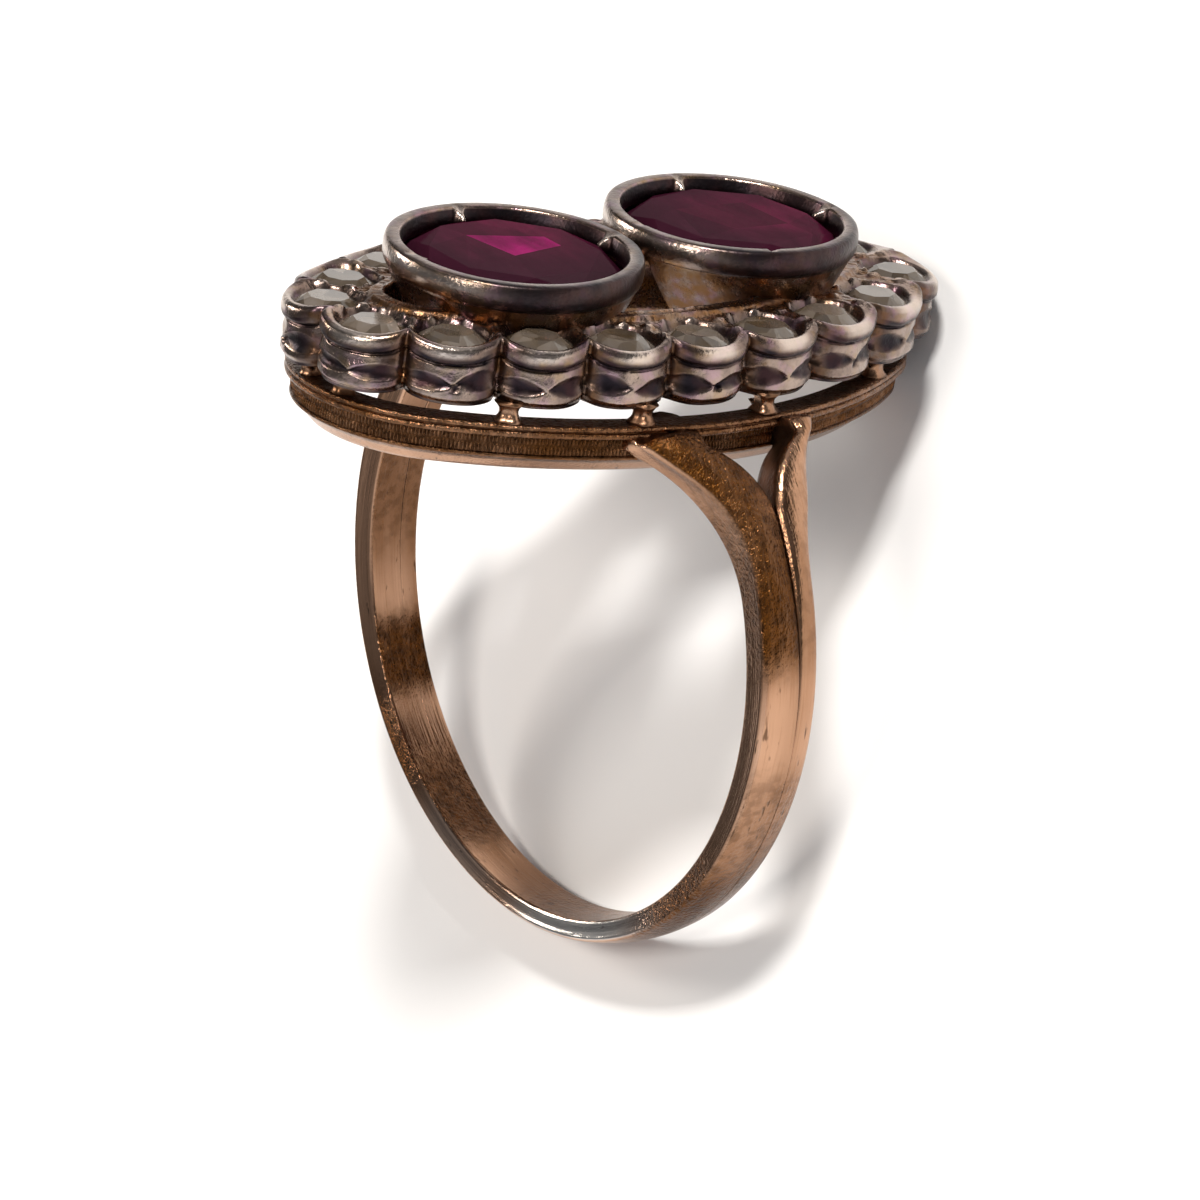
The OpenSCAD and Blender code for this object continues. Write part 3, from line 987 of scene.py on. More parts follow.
@dataclass(frozen=True)
class Gallery:
    """Oval gallery: flat top, bead, recessed milled strip and plain sloping skirt.

    Attributes:
        bottom, strip, rail, top: heights of the skirt's foot, the strip's ends and the top.
        tooth: length of one tooth of the strip with its gap.
        posts: places of the posts, as shares of the way from the -Y end to the +Y end.
    """

    frames: Frames
    oval: Oval = Oval(9.62, 5.75, 3.9)
    bottom: float = 6.1
    strip: float = 6.6
    rail: float = 7.25
    top: float = 7.55
    places: int = 720
    tooth: float = 0.105
    strip_places: int = 2880
    posts: tuple[float, ...] = (0.03, 0.2, 0.4, 0.61, 0.86)
    post_r: float = 0.3

    def profile(self) -> Array:
        """Section of the gallery, distance from the outline and height, with round beads.

        Formula: straight runs between named heights, with half circles for the beads.
        """
        def bead(d: float, z: float, r: float) -> list:
            """Half circle of radius r about (d, z), bulging outwards."""
            a = np.linspace(-75, 75, 7) * math.pi / 180
            return np.stack([d + r * np.cos(a), z + r * np.sin(a)], 1).tolist()

        low, strip, rail, top = self.bottom, self.strip, self.rail, self.top
        rows = [[-1.25, low + 0.02], [-1.2, low], [-0.8, low], [-0.72, low + 0.03]]
        rows += [[-0.62, low + 0.13], [-0.46, low + 0.3], [-0.31, strip - 0.06]]
        rows += bead(-0.27, strip, 0.055) + [[-0.29, strip + 0.07], [-0.29, rail - 0.08]]
        rows += bead(-0.09, rail + 0.02, 0.085) + [[-0.10, rail + 0.115]]
        rows += bead(-0.06, top - 0.09, 0.065) + [[-0.14, top - 0.005], [-0.45, top - 0.02]]
        rows += [[-0.70, top], [-0.76, top - 0.03], [-0.9, 7.15], [-1.08, 6.62], [-1.22, 6.2]]
        return np.array(rows)

    def ring(self) -> tuple[Array, Array]:
        """The gallery's body: its section carried round the oval.

        Returns:
            Points (places, section, 3) in metres and their patina.
        """
        bearing, _ = self.oval.walk(self.places)
        section = self.profile()
        out, up = section.T
        round_it = np.linspace(0, 2 * math.pi, self.places, endpoint=False)[:, None]
        wave = 0.018 * ripple(round_it, np.linspace(0, 6, len(section))[None], 21, top=14)
        flat = self.oval.point(bearing[:, None], out + wave)
        points = np.concatenate([flat, (up + 0.6 * wave)[..., None]], -1)
        # Painted shade: the inner faces under the head and the flat top are darkened, and the
        # recessed strip is darker; the skirt is painted lighter, less brown and brighter, as lit
        # from below.
        skirt, outward = up < self.strip - 0.1, out > -0.8
        recess = 0.55 * (outward & (out < -0.07) & (up > self.strip) & (up < self.top - 0.03))
        under = 0.8 * (~outward & (up > self.bottom + 0.05))
        flat_top = 0.45 * ((up > self.top - 0.03) & (out < -0.13))
        film = np.where(skirt, 0.1, 0.75)
        bright = np.where(skirt, 0.7, 0.4 * (out > -0.03))
        patina_and_painted_light = np.stack([np.maximum(np.maximum(recess, under), flat_top), film, bright], -1)
        return placed(self.frames.gallery, points), np.broadcast_to(patina_and_painted_light[None], points.shape)

    def teeth(self) -> tuple[Array, Array]:
        """The milled strip: a thin band with two rows of fine upright teeth.

        Formula: depth is a cosine of the length along the oval with the tooth as its period,
        shifted by half a tooth between the rows, times the rows' own rounded heights.

        Returns:
            Points (places, section, 3) in metres and their patina.
        """
        bearing, length = self.oval.walk(self.strip_places)
        s = np.arange(len(bearing)) / len(bearing) * length
        v = np.array([0.0, 0.06, 0.16, 0.3, 0.42, 0.5, 0.58, 0.7, 0.84, 0.94, 1.0])
        row = np.sin(np.pi * np.clip(v * 2 % 1.0001, 0, 1)) ** 0.6
        phase = np.where(v > 0.5, 0.5, 0.0)
        cut = 0.5 + 0.5 * np.cos(2 * np.pi * (s[:, None] / self.tooth + phase[None]))
        wear_and_dark_reflection = 0.75 + 0.25 * ripple(s[:, None] / length * 2 * math.pi, 0 * v[None], 33, top=30)
        d = -0.27 + 0.07 * cut * row[None] * np.clip(wear_and_dark_reflection, 0.2, 1)
        z = self.strip + 0.05 + (self.rail - self.strip - 0.1) * v[None] + 0 * d
        back_z = np.array([[self.rail - 0.05, self.strip + 0.05]]) + 0 * s[:, None]
        d, z = np.concatenate([d, 0 * back_z - 0.40], 1), np.concatenate([z, back_z], 1)
        points = np.concatenate([self.oval.point(bearing[:, None], d), z[..., None]], -1)
        # Painted shade in the gaps between the teeth and on the strip's back; the tooth tips are
        # brighter, as wear and painted highlight.
        shade = np.concatenate([0.62 * (1 - cut * row[None]), np.full((len(s), 2), 0.9)], 1)
        wear_and_highlight = np.concatenate([0.7 * cut * row[None], np.zeros((len(s), 2))], 1)
        return placed(self.frames.gallery, points), np.stack([shade, 0.85 + 0 * shade, wear_and_highlight], -1)

    def post_grids(self, cluster: "Cluster") -> tuple[Array, Array]:
        """Uneven little posts between the gallery and the head.

        Formula: a round post whose radius widens towards both ends and wavers with the angle.

        Args:
            cluster: the head, for the places along its line.

        Returns:
            Points (posts, rows, round, 3) in metres and their patina.
        """
        bearing = cluster.bearing(np.array(self.posts) * 9)
        bearing = np.concatenate([bearing, mirrored(bearing)])
        spot = self.oval.point(bearing, -0.42)
        spot[:, 1] += self.frames.gallery_y - self.frames.head_y
        lift = self.frames.lift
        v = np.linspace(0, 1, 9)[None, :, None]
        a = np.linspace(0, 2 * math.pi, 20, endpoint=False)[None, None]
        k = np.arange(len(bearing))[:, None, None]
        ends = (2 * v - 1) ** 2
        r = 0.86 + 0.5 * ends + 0.10 * np.sin(3 * a + k) + 0.06 * np.sin(5 * a + 2 * k)
        r = self.post_r * r
        x, y = spot[:, 0, None, None] + r * np.cos(a), spot[:, 1, None, None] + r * np.sin(a)
        points = np.stack([x, y, -lift - 0.12 + (lift + 0.12 + 0.14) * v + 0 * r], -1)
        patina_and_painted_light = np.stack([0.35 + 0.3 * ends + 0 * r, 0 * r, 0 * r], -1)
        return placed(self.frames.head, points), patina_and_painted_light

    def build(self, gold: Material, cluster: "Cluster") -> list[Piece]:
        """Builds the gallery, its milled strip and its posts."""
        made = [surface("gallery_rim", *self.ring()), surface("milled_strip", *self.teeth()),
                surface("head_posts", *self.post_grids(cluster), wrap_u=False)]
        return [dressed(piece, gold, "shank") for piece in made]


# ---------------------------------------------------------------- cluster


@dataclass(frozen=True)
class Cluster:
    """Scalloped silver border with its small stones' beds and the plain ledge inside.

    Attributes:
        crowding: scallops by which the places draw towards one end.
        line_in: how far inside the outline lies the line along which scallops are counted.
        small_in: how far inside the outline the small stones' middles lie.
        roll, neck_in, foot_in: depths of the lip's roll, of the neck and of the foot.
        cut_in, leaf_in: depths of the line below the roll and of the leaf cuts and dots.
        leaf_at, leaf_half: place and half size of a leaf, across the scallop and upwards.
        dot_at, dot_half: the same for the drilled dot.
        seat_z, bowl_rise: height of the beds and how far they rise beside a stone.
        grains: raised grains, as scallops aside, distance inwards and radius.
        grain_h, ragged_h: heights of the grains and of the rough floor.
        ticks: number of radial ticks round the ledge.
    """

    frames: Frames
    oval: Oval = Oval(10.25, 5.65, 3.8)
    wall_h: float = 1.95
    crowding: float = 0.36
    line_in: float = 0.7
    small_in: float = 1.2
    small_r: float = 0.9
    ledge_in: float = 2.3
    ledge_w: float = 0.45
    ledge_step: float = 0.08
    per_scallop: int = 46
    wall_rows: int = 44
    roll: float = 0.14
    neck_in: float = 0.13
    foot_in: float = 0.14
    cut_in: float = 0.03
    leaf_in: float = 0.10
    leaf_at: tuple[float, float] = (0.56, 0.66)
    leaf_half: tuple[float, float] = (0.54, 0.25)
    dot_at: tuple[float, float] = (0.06, 0.50)
    dot_half: tuple[float, float] = (0.085, 0.11)
    bed_rows: int = 46
    seat_z: float = 1.50
    bowl_rise: float = 0.26
    grain_h: float = 0.09
    ragged_h: float = 0.05
    ticks: int = 260
    grains: tuple[Point, ...] = ((0.0, 1.02, 0.19), (0.0, 1.78, 0.2),
                                 (0.3, 2.06, 0.15), (-0.3, 2.06, 0.15))

    def bearing(self, k: Array) -> Array:
        """Outward direction at k scallops from the -Y end, on the +X side (k from 0 to 9).

        Formula: the length along a line a little inside the outline, evenly divided but
        crowded by a sine, turned into the arcs' angle.
        """
        end, side = self.oval.runs(self.line_in)
        s = (2 * end + side) / 9 * (k - self.crowding * np.sin(math.pi * (k / 9) ** 1.6))
        return self.oval.at_length(s, self.line_in)

    def around(self, k: Array) -> Array:
        """Outward direction at k scallops from the -Y end, right round (k from 0 to 18)."""
        t = self.bearing(np.where(k < 9, k, SCALLOPS - k))
        return np.where(k < 9, t, mirrored(t))

    def columns(self) -> tuple[Array, Array, Array]:
        """Columns of the border's grid.

        Returns:
            Scallop number, place across the scallop (-1 to 1) and bearing of each column.
        """
        k = np.arange(SCALLOPS * self.per_scallop) / self.per_scallop
        number = np.floor(k).astype(int)
        return number, 2 * (k - number) - 1, self.around(k)

    def stones(self) -> Array:
        """Middles of the small stones, array (18, 2), in the order of the columns."""
        return self.oval.point(self.around(np.arange(SCALLOPS) + 0.5), -self.small_in)

    def lip(self, u: Array) -> Array:
        """Height of the lip: it dips in the middle of a scallop and peaks at its ends."""
        return self.wall_h - 0.08 - 0.24 * (1 - np.abs(u) ** 2.6)

    def bow(self, u: Array) -> Array:
        """How far a scallop draws in towards its ends: a power of the place across it, with
        a crease where two scallops meet.
        """
        return 0.40 * np.abs(u) ** 2.3 + 0.14 * bell(np.abs(u), 1, 0.07)

    def wall(self, number: Array, u: Array) -> tuple[Array, Array, Array]:
        """Outer face of the scallops, from the foot up to the lip.

        Formula: each scallop bows out as a power of its place across; a round roll follows
        the dipping lip, with a neck below it; then come two leaf-shaped cuts, now and then a
        drilled dot, and a foot whose lower edge rises towards the scallop's ends.

        Args:
            number: scallop of each column.
            u: place across the scallop of each column.

        Returns:
            Distance from the outline, height and patina, arrays (columns, rows[, 3]).
        """
        rng = np.random.default_rng(5)
        vary = rng.uniform(-1, 1, (SCALLOPS, 8))[number][:, :, None]
        w = u[:, None]
        low = 0.02 + 0.15 * np.abs(w) ** 3 + 0.05 * vary[:, 0] * w
        lip = self.lip(u)[:, None]
        z = low + (lip - 0.18 - low) * np.linspace(0, 1, self.wall_rows)[None]
        line = lip - 0.56 + 0.04 * vary[:, 1] + 0.05 * w * vary[:, 2]
        roll = self.roll * rounding(np.clip((z - (lip - 0.27)) / 0.30, -0.98, 0.98))
        roll = roll * (z > line - 0.02)
        neck = self.neck_in * (1 - smooth(z, line - 0.02, line + 0.10))
        neck = neck - 0.05 * (1 - smooth(z, line - 0.5, line - 0.1))
        cut = bell(z, line, 0.045)
        leaf, (half, high) = np.zeros(z.shape), self.leaf_half
        for side, a, b in ((-1, 3, 4), (1, 5, 6)):
            along = (w - side * (self.leaf_at[0] + 0.05 * vary[:, b])) * side
            mid = self.leaf_at[1] + 0.06 * vary[:, a] + 0.10 * along - 0.10 * along ** 2
            tall = np.clip(1 - (along / half) ** 2, 0, 1) ** 0.8
            tall = (high + 0.05 * vary[:, b]) * tall + 1e-6
            inside = np.clip(1 - ((z - mid) / tall) ** 2, 0, 1) * (np.abs(along) < half)
            leaf = np.maximum(leaf, inside)
        dot = bell(w, self.dot_at[0], self.dot_half[0], 4) * (vary[:, 7] > 0.35)
        dot = dot * bell(z, self.dot_at[1], self.dot_half[1], 4)
        foot = self.foot_in * (1 - smooth(z, low + 0.02, low + 0.22))
        rough = 0.014 * ripple(number[:, None] + w * 3, z * 5, 77, top=6)
        d = rough - self.bow(w) - roll - neck - foot
        d = d - self.cut_in * cut - self.leaf_in * (leaf + dot)
        ditch = bell(np.abs(w), 1, 0.10)
        # Painted shade on the roll's lower half; darker towards the scallop's ends and along the
        # foot; tarnish in the cut line, leaves, dots and ditches.
        shade = 0.92 * smooth(line + 0.27 - z, 0.0, 0.14) * (z > line - 0.03)
        off = np.abs(w + 0.1 * vary[:, 6])
        corner = smooth(off, 0.36, 0.86) * (0.68 + 0.2 * vary[:, 5])
        edge = 0.6 * (z < low + 0.07)
        dark = np.clip(0.9 * cut + shade + leaf ** 0.4 + dot + 0.55 * ditch + corner + edge, 0, 1)
        # Painted highlight: a band along the roll's upper part, strongest on the first scallops and
        # in each scallop's middle, and a faint light on the face below the line.
        wear_and_highlight = (1.0 - 0.08 * np.minimum(number, 5))[:, None] * bell(z, lip - 0.19, 0.11)
        wear_and_highlight = wear_and_highlight * (1 - smooth(np.abs(w + 0.15 * vary[:, 6]), 0.1, 0.6))
        wear_and_highlight = np.maximum(wear_and_highlight, 0.15 * (1 - dark) * (z < line - 0.05) * (np.abs(w) < 0.6))
        stain = np.maximum(ditch, 0.7 * smooth(np.abs(w), 0.62, 0.9))
        return d, z, np.stack([dark * (1 - 0.45 * stain), stain + 0 * z, wear_and_highlight], -1)

    def bed(self, number: Array, u: Array, t: Array) -> tuple[Array, Array, Array]:
        """Top of the border, from the lip inwards to the ledge.

        Formula: height over the distance w inwards: lip, then a bowl round the nearest stone,
        raised grains between stones, a rough floor, and the plain ledge with radial ticks.

        Args:
            number: scallop of each column.
            u: place across the scallop of each column.
            t: bearing of each column.

        Returns:
            Distance from the outline, height and patina, arrays (columns, rows[, 3]).
        """
        ledge, r = self.ledge_in + self.ledge_w, self.small_r
        q = np.linspace(0, 1, self.bed_rows)[None]
        w = (self.bow(u)[:, None] + 0.20) * (1 - q) + ledge * q
        flat = self.oval.point(t[:, None], -w)
        spots = [self.stones()[(number + s) % SCALLOPS][:, None] for s in (-1, 0, 1)]
        rho = np.min([np.linalg.norm(flat - spot, axis=-1) for spot in spots], 0)
        across = u[:, None]
        inside = smooth(w, 0.5, 1.2)
        z = self.lip(u)[:, None] * (1 - inside) + (self.wall_h - 0.22) * inside
        bowl = smooth(rho, r - 0.05, r + 0.24)
        beside = self.seat_z + self.bowl_rise * bowl + 0.12 * bowl * (w > 1)
        z = np.where(rho < r + 0.24, np.minimum(z, beside), z)
        z = z - 0.9 * np.clip(r - 0.06 - rho, 0, 1)
        mid = np.floor(number[:, None] + (across + 1) / 2 + 0.5)
        grain = np.zeros(w.shape)
        for offset, depth, size in self.grains:
            spot = self.oval.point(self.around((mid + offset) % SCALLOPS), -depth)
            near = np.clip(1 - (np.linalg.norm(flat - spot, axis=-1) / size) ** 2, 0, 1)
            grain = np.maximum(grain, np.sqrt(near))
        ragged = ripple(number[:, None] * 2.1 + across * 7, w * 9, 3, waves=12, top=12)
        work = smooth(rho, r + 0.05, r + 0.3) * smooth(w, 0.9, 1.3)
        z = z + self.grain_h * grain + self.ragged_h * ragged * work
        on_ledge = smooth(w, self.ledge_in - 0.05, self.ledge_in + 0.06)
        ticks = 0.5 + 0.5 * np.sin(t[:, None] * self.ticks + 3 * ragged)
        flat_z = self.wall_h - self.ledge_step - 0.02 + 0.010 * ticks - 0.015 * ragged
        flat_z = flat_z + 0.05 * bell(w, ledge - 0.09, 0.05) - 0.12 * smooth(w, ledge - 0.05, ledge)
        z = z * (1 - on_ledge) + flat_z * on_ledge
        dark = 0.75 * (1 - bowl) + 0.5 * work * (1 - grain) * (0.6 - 0.6 * ragged)
        dark = np.clip(dark, 0, 1) * (1 - on_ledge) + on_ledge * (0.35 + 0.25 * (ticks < 0.3))
        brass = work * 0.8 * (1 - 0.4 * grain) + 0.6 * on_ledge
        # Painted highlight along the lip's middle; grain tops worn bright and a brighter line on
        # the ledge's bead.
        wear_and_highlight = 0.5 * (1 - smooth(w, 0.2, 0.4)) * (1 - smooth(np.abs(across), 0.2, 0.7))
        wear_and_highlight = np.maximum(wear_and_highlight, 0.3 * grain ** 3)
        wear_and_highlight = np.maximum(wear_and_highlight, on_ledge * 0.4 * bell(w, ledge - 0.09, 0.04))
        return -w, z, np.stack([dark, brass, wear_and_highlight], -1)

    def border(self) -> tuple[Array, Array]:
        """The whole border as one closed surface: wall, lip, bed, ledge and back.

        Returns:
            Points (columns, rows, 3) in metres and their patina.
        """
        number, u, t = self.columns()
        d, z, paint = self.wall(number, u)
        bd, bz, bpaint = self.bed(number, u, t)
        turn_over = np.radians(np.linspace(0, 90, 6)[1:-1])[None]
        lip_d = d[:, -1:] + (bd[:, :1] - d[:, -1:]) * (1 - np.cos(turn_over))
        lip_z = z[:, -1:] + (bz[:, :1] - z[:, -1:]) * np.sin(turn_over)
        lip_paint = np.zeros(lip_d.shape + (3,))
        # The lip's turn: darker towards the scallop's ends, with a painted highlight in its middle.
        lip_paint[..., 0] = 0.6 * smooth(np.abs(u), 0.35, 0.85)[:, None]
        lip_paint[..., 2] = 0.6 * (1 - smooth(np.abs(u), 0.2, 0.6))[:, None]
        inner = np.full((len(u), 1), -self.ledge_in - self.ledge_w)
        down_d = inner + np.array([[0.0, 0.0, 0.0, 0.02, 0.8, 1.6]])
        down_z = np.array([[1.5, 1.0, 0.5, 0.03, 0.03, 0.03]]) + 0 * inner
        down_paint = np.zeros(down_d.shape + (3,)) + (0.55, 0.5, 0.0)
        d = np.concatenate([d, lip_d, bd, down_d], 1)
        z = np.concatenate([z, lip_z, bz, down_z], 1)
        paint = np.concatenate([paint, lip_paint, bpaint, down_paint], 1)
        flat = self.oval.point(t[:, None], d)
        return placed(self.frames.head, np.concatenate([flat, z[..., None]], -1)), paint

    def build(self, silver: Material) -> list[Piece]:
        """Builds the border."""
        border = surface("scalloped_border", *self.border())
        return [dressed(border, silver, "setting")]


# ---------------------------------------------------------------- bezels


@dataclass(frozen=True)
class Bezel:
    """Tapering wall with a rolled collar and a few small claws over the stone.

    Attributes:
        side: -1 for the front bezel and 1 for the back one.
        claws: bearings of the claws, degrees.
        dark_reflection_bearing: bearing of the side that is painted dark, as a painted dark
            reflection, and left without painted highlight, degrees.
        claw_half, claw_in: half width of a claw, radians, and its reach over the stone.
    """

    frames: Frames
    side: int
    claws: tuple[float, ...]
    dark_reflection_bearing: float
    seed: int
    collar_r: float = 3.5
    band: float = 0.72
    top: float = 3.33
    foot: float = 0.45
    foot_r: float = 2.45
    stone_r: float = 3.06
    stone_z: float = 2.49
    back_r: float = 1.5
    places: int = 300
    claw_half: float = 0.055
    claw_in: float = 0.34

    def section(self) -> Array:
        """Closed section, radius and height.

        Formula: a straight tapering wall, part of an ellipse bulging out as the collar's
        band, a narrow flat rim, a bevel to the stone's edge and the seat along its back.
        """
        low, top, r = self.top - self.band, self.top, self.collar_r
        a = np.radians(np.linspace(-90, 64, 15))
        band = np.stack([r - 0.13 * (1 - np.cos(a)), low + self.band * (1 + np.sin(a)) / 2], 1)
        wall_z = np.linspace(self.foot, low - 0.16, 7)
        rise = (wall_z - self.foot) / (low - 0.14 - self.foot)
        wall_r = self.foot_r + (r - 0.17 - self.foot_r) * rise
        rows = [[self.foot_r - 0.25, self.foot]] + np.stack([wall_r, wall_z], 1).tolist()
        rows += [[r - 0.16, low - 0.07]] + band.tolist() + [[r - 0.12, top - 0.015]]
        rows += [[r - 0.16, top], [r - 0.38, top], [r - 0.42, top - 0.02], [r - 0.45, top - 0.08]]
        rows += [[r - 0.50, top - 0.25], [r - 0.53, top - 0.36], [r - 0.53, top - 0.48]]
        seat, deep = self.stone_r + 0.02, self.stone_z
        rows += [[seat, deep + 0.17], [seat, deep], [2.3, deep - 0.72]]
        rows += [[self.back_r, deep - 1.42], [self.back_r, self.foot + 0.1]]
        return np.array(rows)

    def grid(self) -> tuple[Array, Array]:
        """The bezel turned about its axis, made uneven by hand, with claws on the lip.

        Returns:
            Points (round, section, 3) in metres and their patina.
        """
        out, at = self.section().T[:, None]
        a = np.linspace(0, 2 * math.pi, self.places, endpoint=False)[:, None]
        r, z = out + 0 * a, at + 0 * a
        high = smooth(z, 1.6, 3.0)
        r = r + 0.022 * high * ripple(a, 0 * r, self.seed, top=7)
        z = z + 0.020 * high * ripple(a, 0 * r, self.seed + 1, top=6)
        nib = np.zeros(r.shape)
        for claw in self.claws:
            off = (a - math.radians(claw) + math.pi) % (2 * math.pi) - math.pi
            nib = np.maximum(nib, np.clip(1 - np.abs(off) / self.claw_half, 0, 1))
        edge = self.collar_r - 0.37
        nib = nib * ((out < edge) & (at > self.stone_z + 0.3))
        r = r - self.claw_in * nib * np.clip((edge - out) / 0.13, 0, 1)
        z = z * (1 - nib) + (self.top - 0.20 + 0.4 * (z - self.top + 0.2)) * nib
        wall = smooth(self.top - self.band - at, -0.05, 0.1) * (out > self.back_r + 0.3)
        band = (out > 3.2) * (1 - wall)
        # Painted dark reflection: the side facing the room's dark part is darkened.
        wear_and_dark_reflection = smooth(np.cos(a - math.radians(self.dark_reflection_bearing)), -0.1, 0.5)
        under = smooth(self.top - 0.42 - at, 0.0, 0.22) * band
        rim_in, rim_out = self.collar_r - 0.42, self.collar_r - 0.11
        rim = (out > rim_in) & (out < rim_out) & (at > self.top - 0.1)
        # Painted shade under the collar and down the throat to the stone; the band is painted dark
        # on the dark side; the rim is darker.
        dark = 0.45 * wall + 0.3 * under * wear_and_dark_reflection + band * (0.12 + 0.8 * wear_and_dark_reflection)
        dark = np.clip(dark + 0.97 * ((out < rim_in) & (at > 2.4)) + 0.45 * rim, 0, 0.97)
        brass = np.clip(1.3 * wall + 0.7 * under * (1 - wear_and_dark_reflection), 0, 1)
        brass = brass * (0.8 + 0.2 * ripple(a, 0 * r, self.seed + 2, top=5))
        # Painted highlight along the band's upper part, away from the dark side; the claws are
        # brighter.
        wear_and_highlight = bell(at, self.top - 0.26, 0.14) * band * ~rim * 0.8 * (1 - wear_and_dark_reflection)
        patina_and_painted_light = np.stack([dark * (1 - nib * 0.8), brass, np.maximum(wear_and_highlight, 0.7 * nib)], -1)
        points = np.stack([r * np.cos(a), r * np.sin(a), z], -1)
        return placed(self.frames.bezel(self.side), points), patina_and_painted_light

    def build(self, silver: Material, name: str) -> list[Piece]:
        """Builds the bezel."""
        return [dressed(surface(name, *self.grid()), silver, "setting")]


@dataclass(frozen=True)
class Bridge:
    """Solder between the two bezels.

    Attributes:
        reach: from its middle to each end.
        waist, swell: half width in the middle, and what the ends add.
        half_h, middle_z: half height, and height of its middle.
    """

    frames: Frames
    places: int = 25
    reach: float = 1.4
    waist: float = 0.45
    swell: float = 0.45
    half_h: float = 0.85
    middle_z: float = 1.7
    fillet: float = 0.25

    def build(self, silver: Material) -> list[Piece]:
        """Builds the bridge: an upright saddle, waisted between the bezels.

        Formula: a rounded block whose width grows with the square of the distance from its
        middle, so that it dies into both walls.
        """
        v = np.linspace(-1, 1, self.places)
        fillets = np.full((self.places, 4), self.fillet)
        half_w = self.waist + self.swell * v ** 2
        loop = rounded_loop(half_w, self.half_h + 0 * v, fillets, flat=4)
        x, z = loop[..., 0], self.middle_z + loop[..., 1]
        points = placed(self.frames.head, np.stack([x, self.reach * v[:, None] + 0 * x, z], -1))
        patina_and_painted_light = np.zeros(points.shape) + (0.35, 1.0, 0.0)
        bridge = surface("bezel_bridge", points, patina_and_painted_light, wrap_u=False)
        return [dressed(bridge, silver, "setting")]


# ---------------------------------------------------------------- stones


class Facet(IntEnum):
    """Kinds of facets of a cut stone."""

    WINDOW = 0
    TABLE = 1
    STAR = 2
    KITE = 3
    BREAK = 4
    BELT = 5
    PAVILION = 6


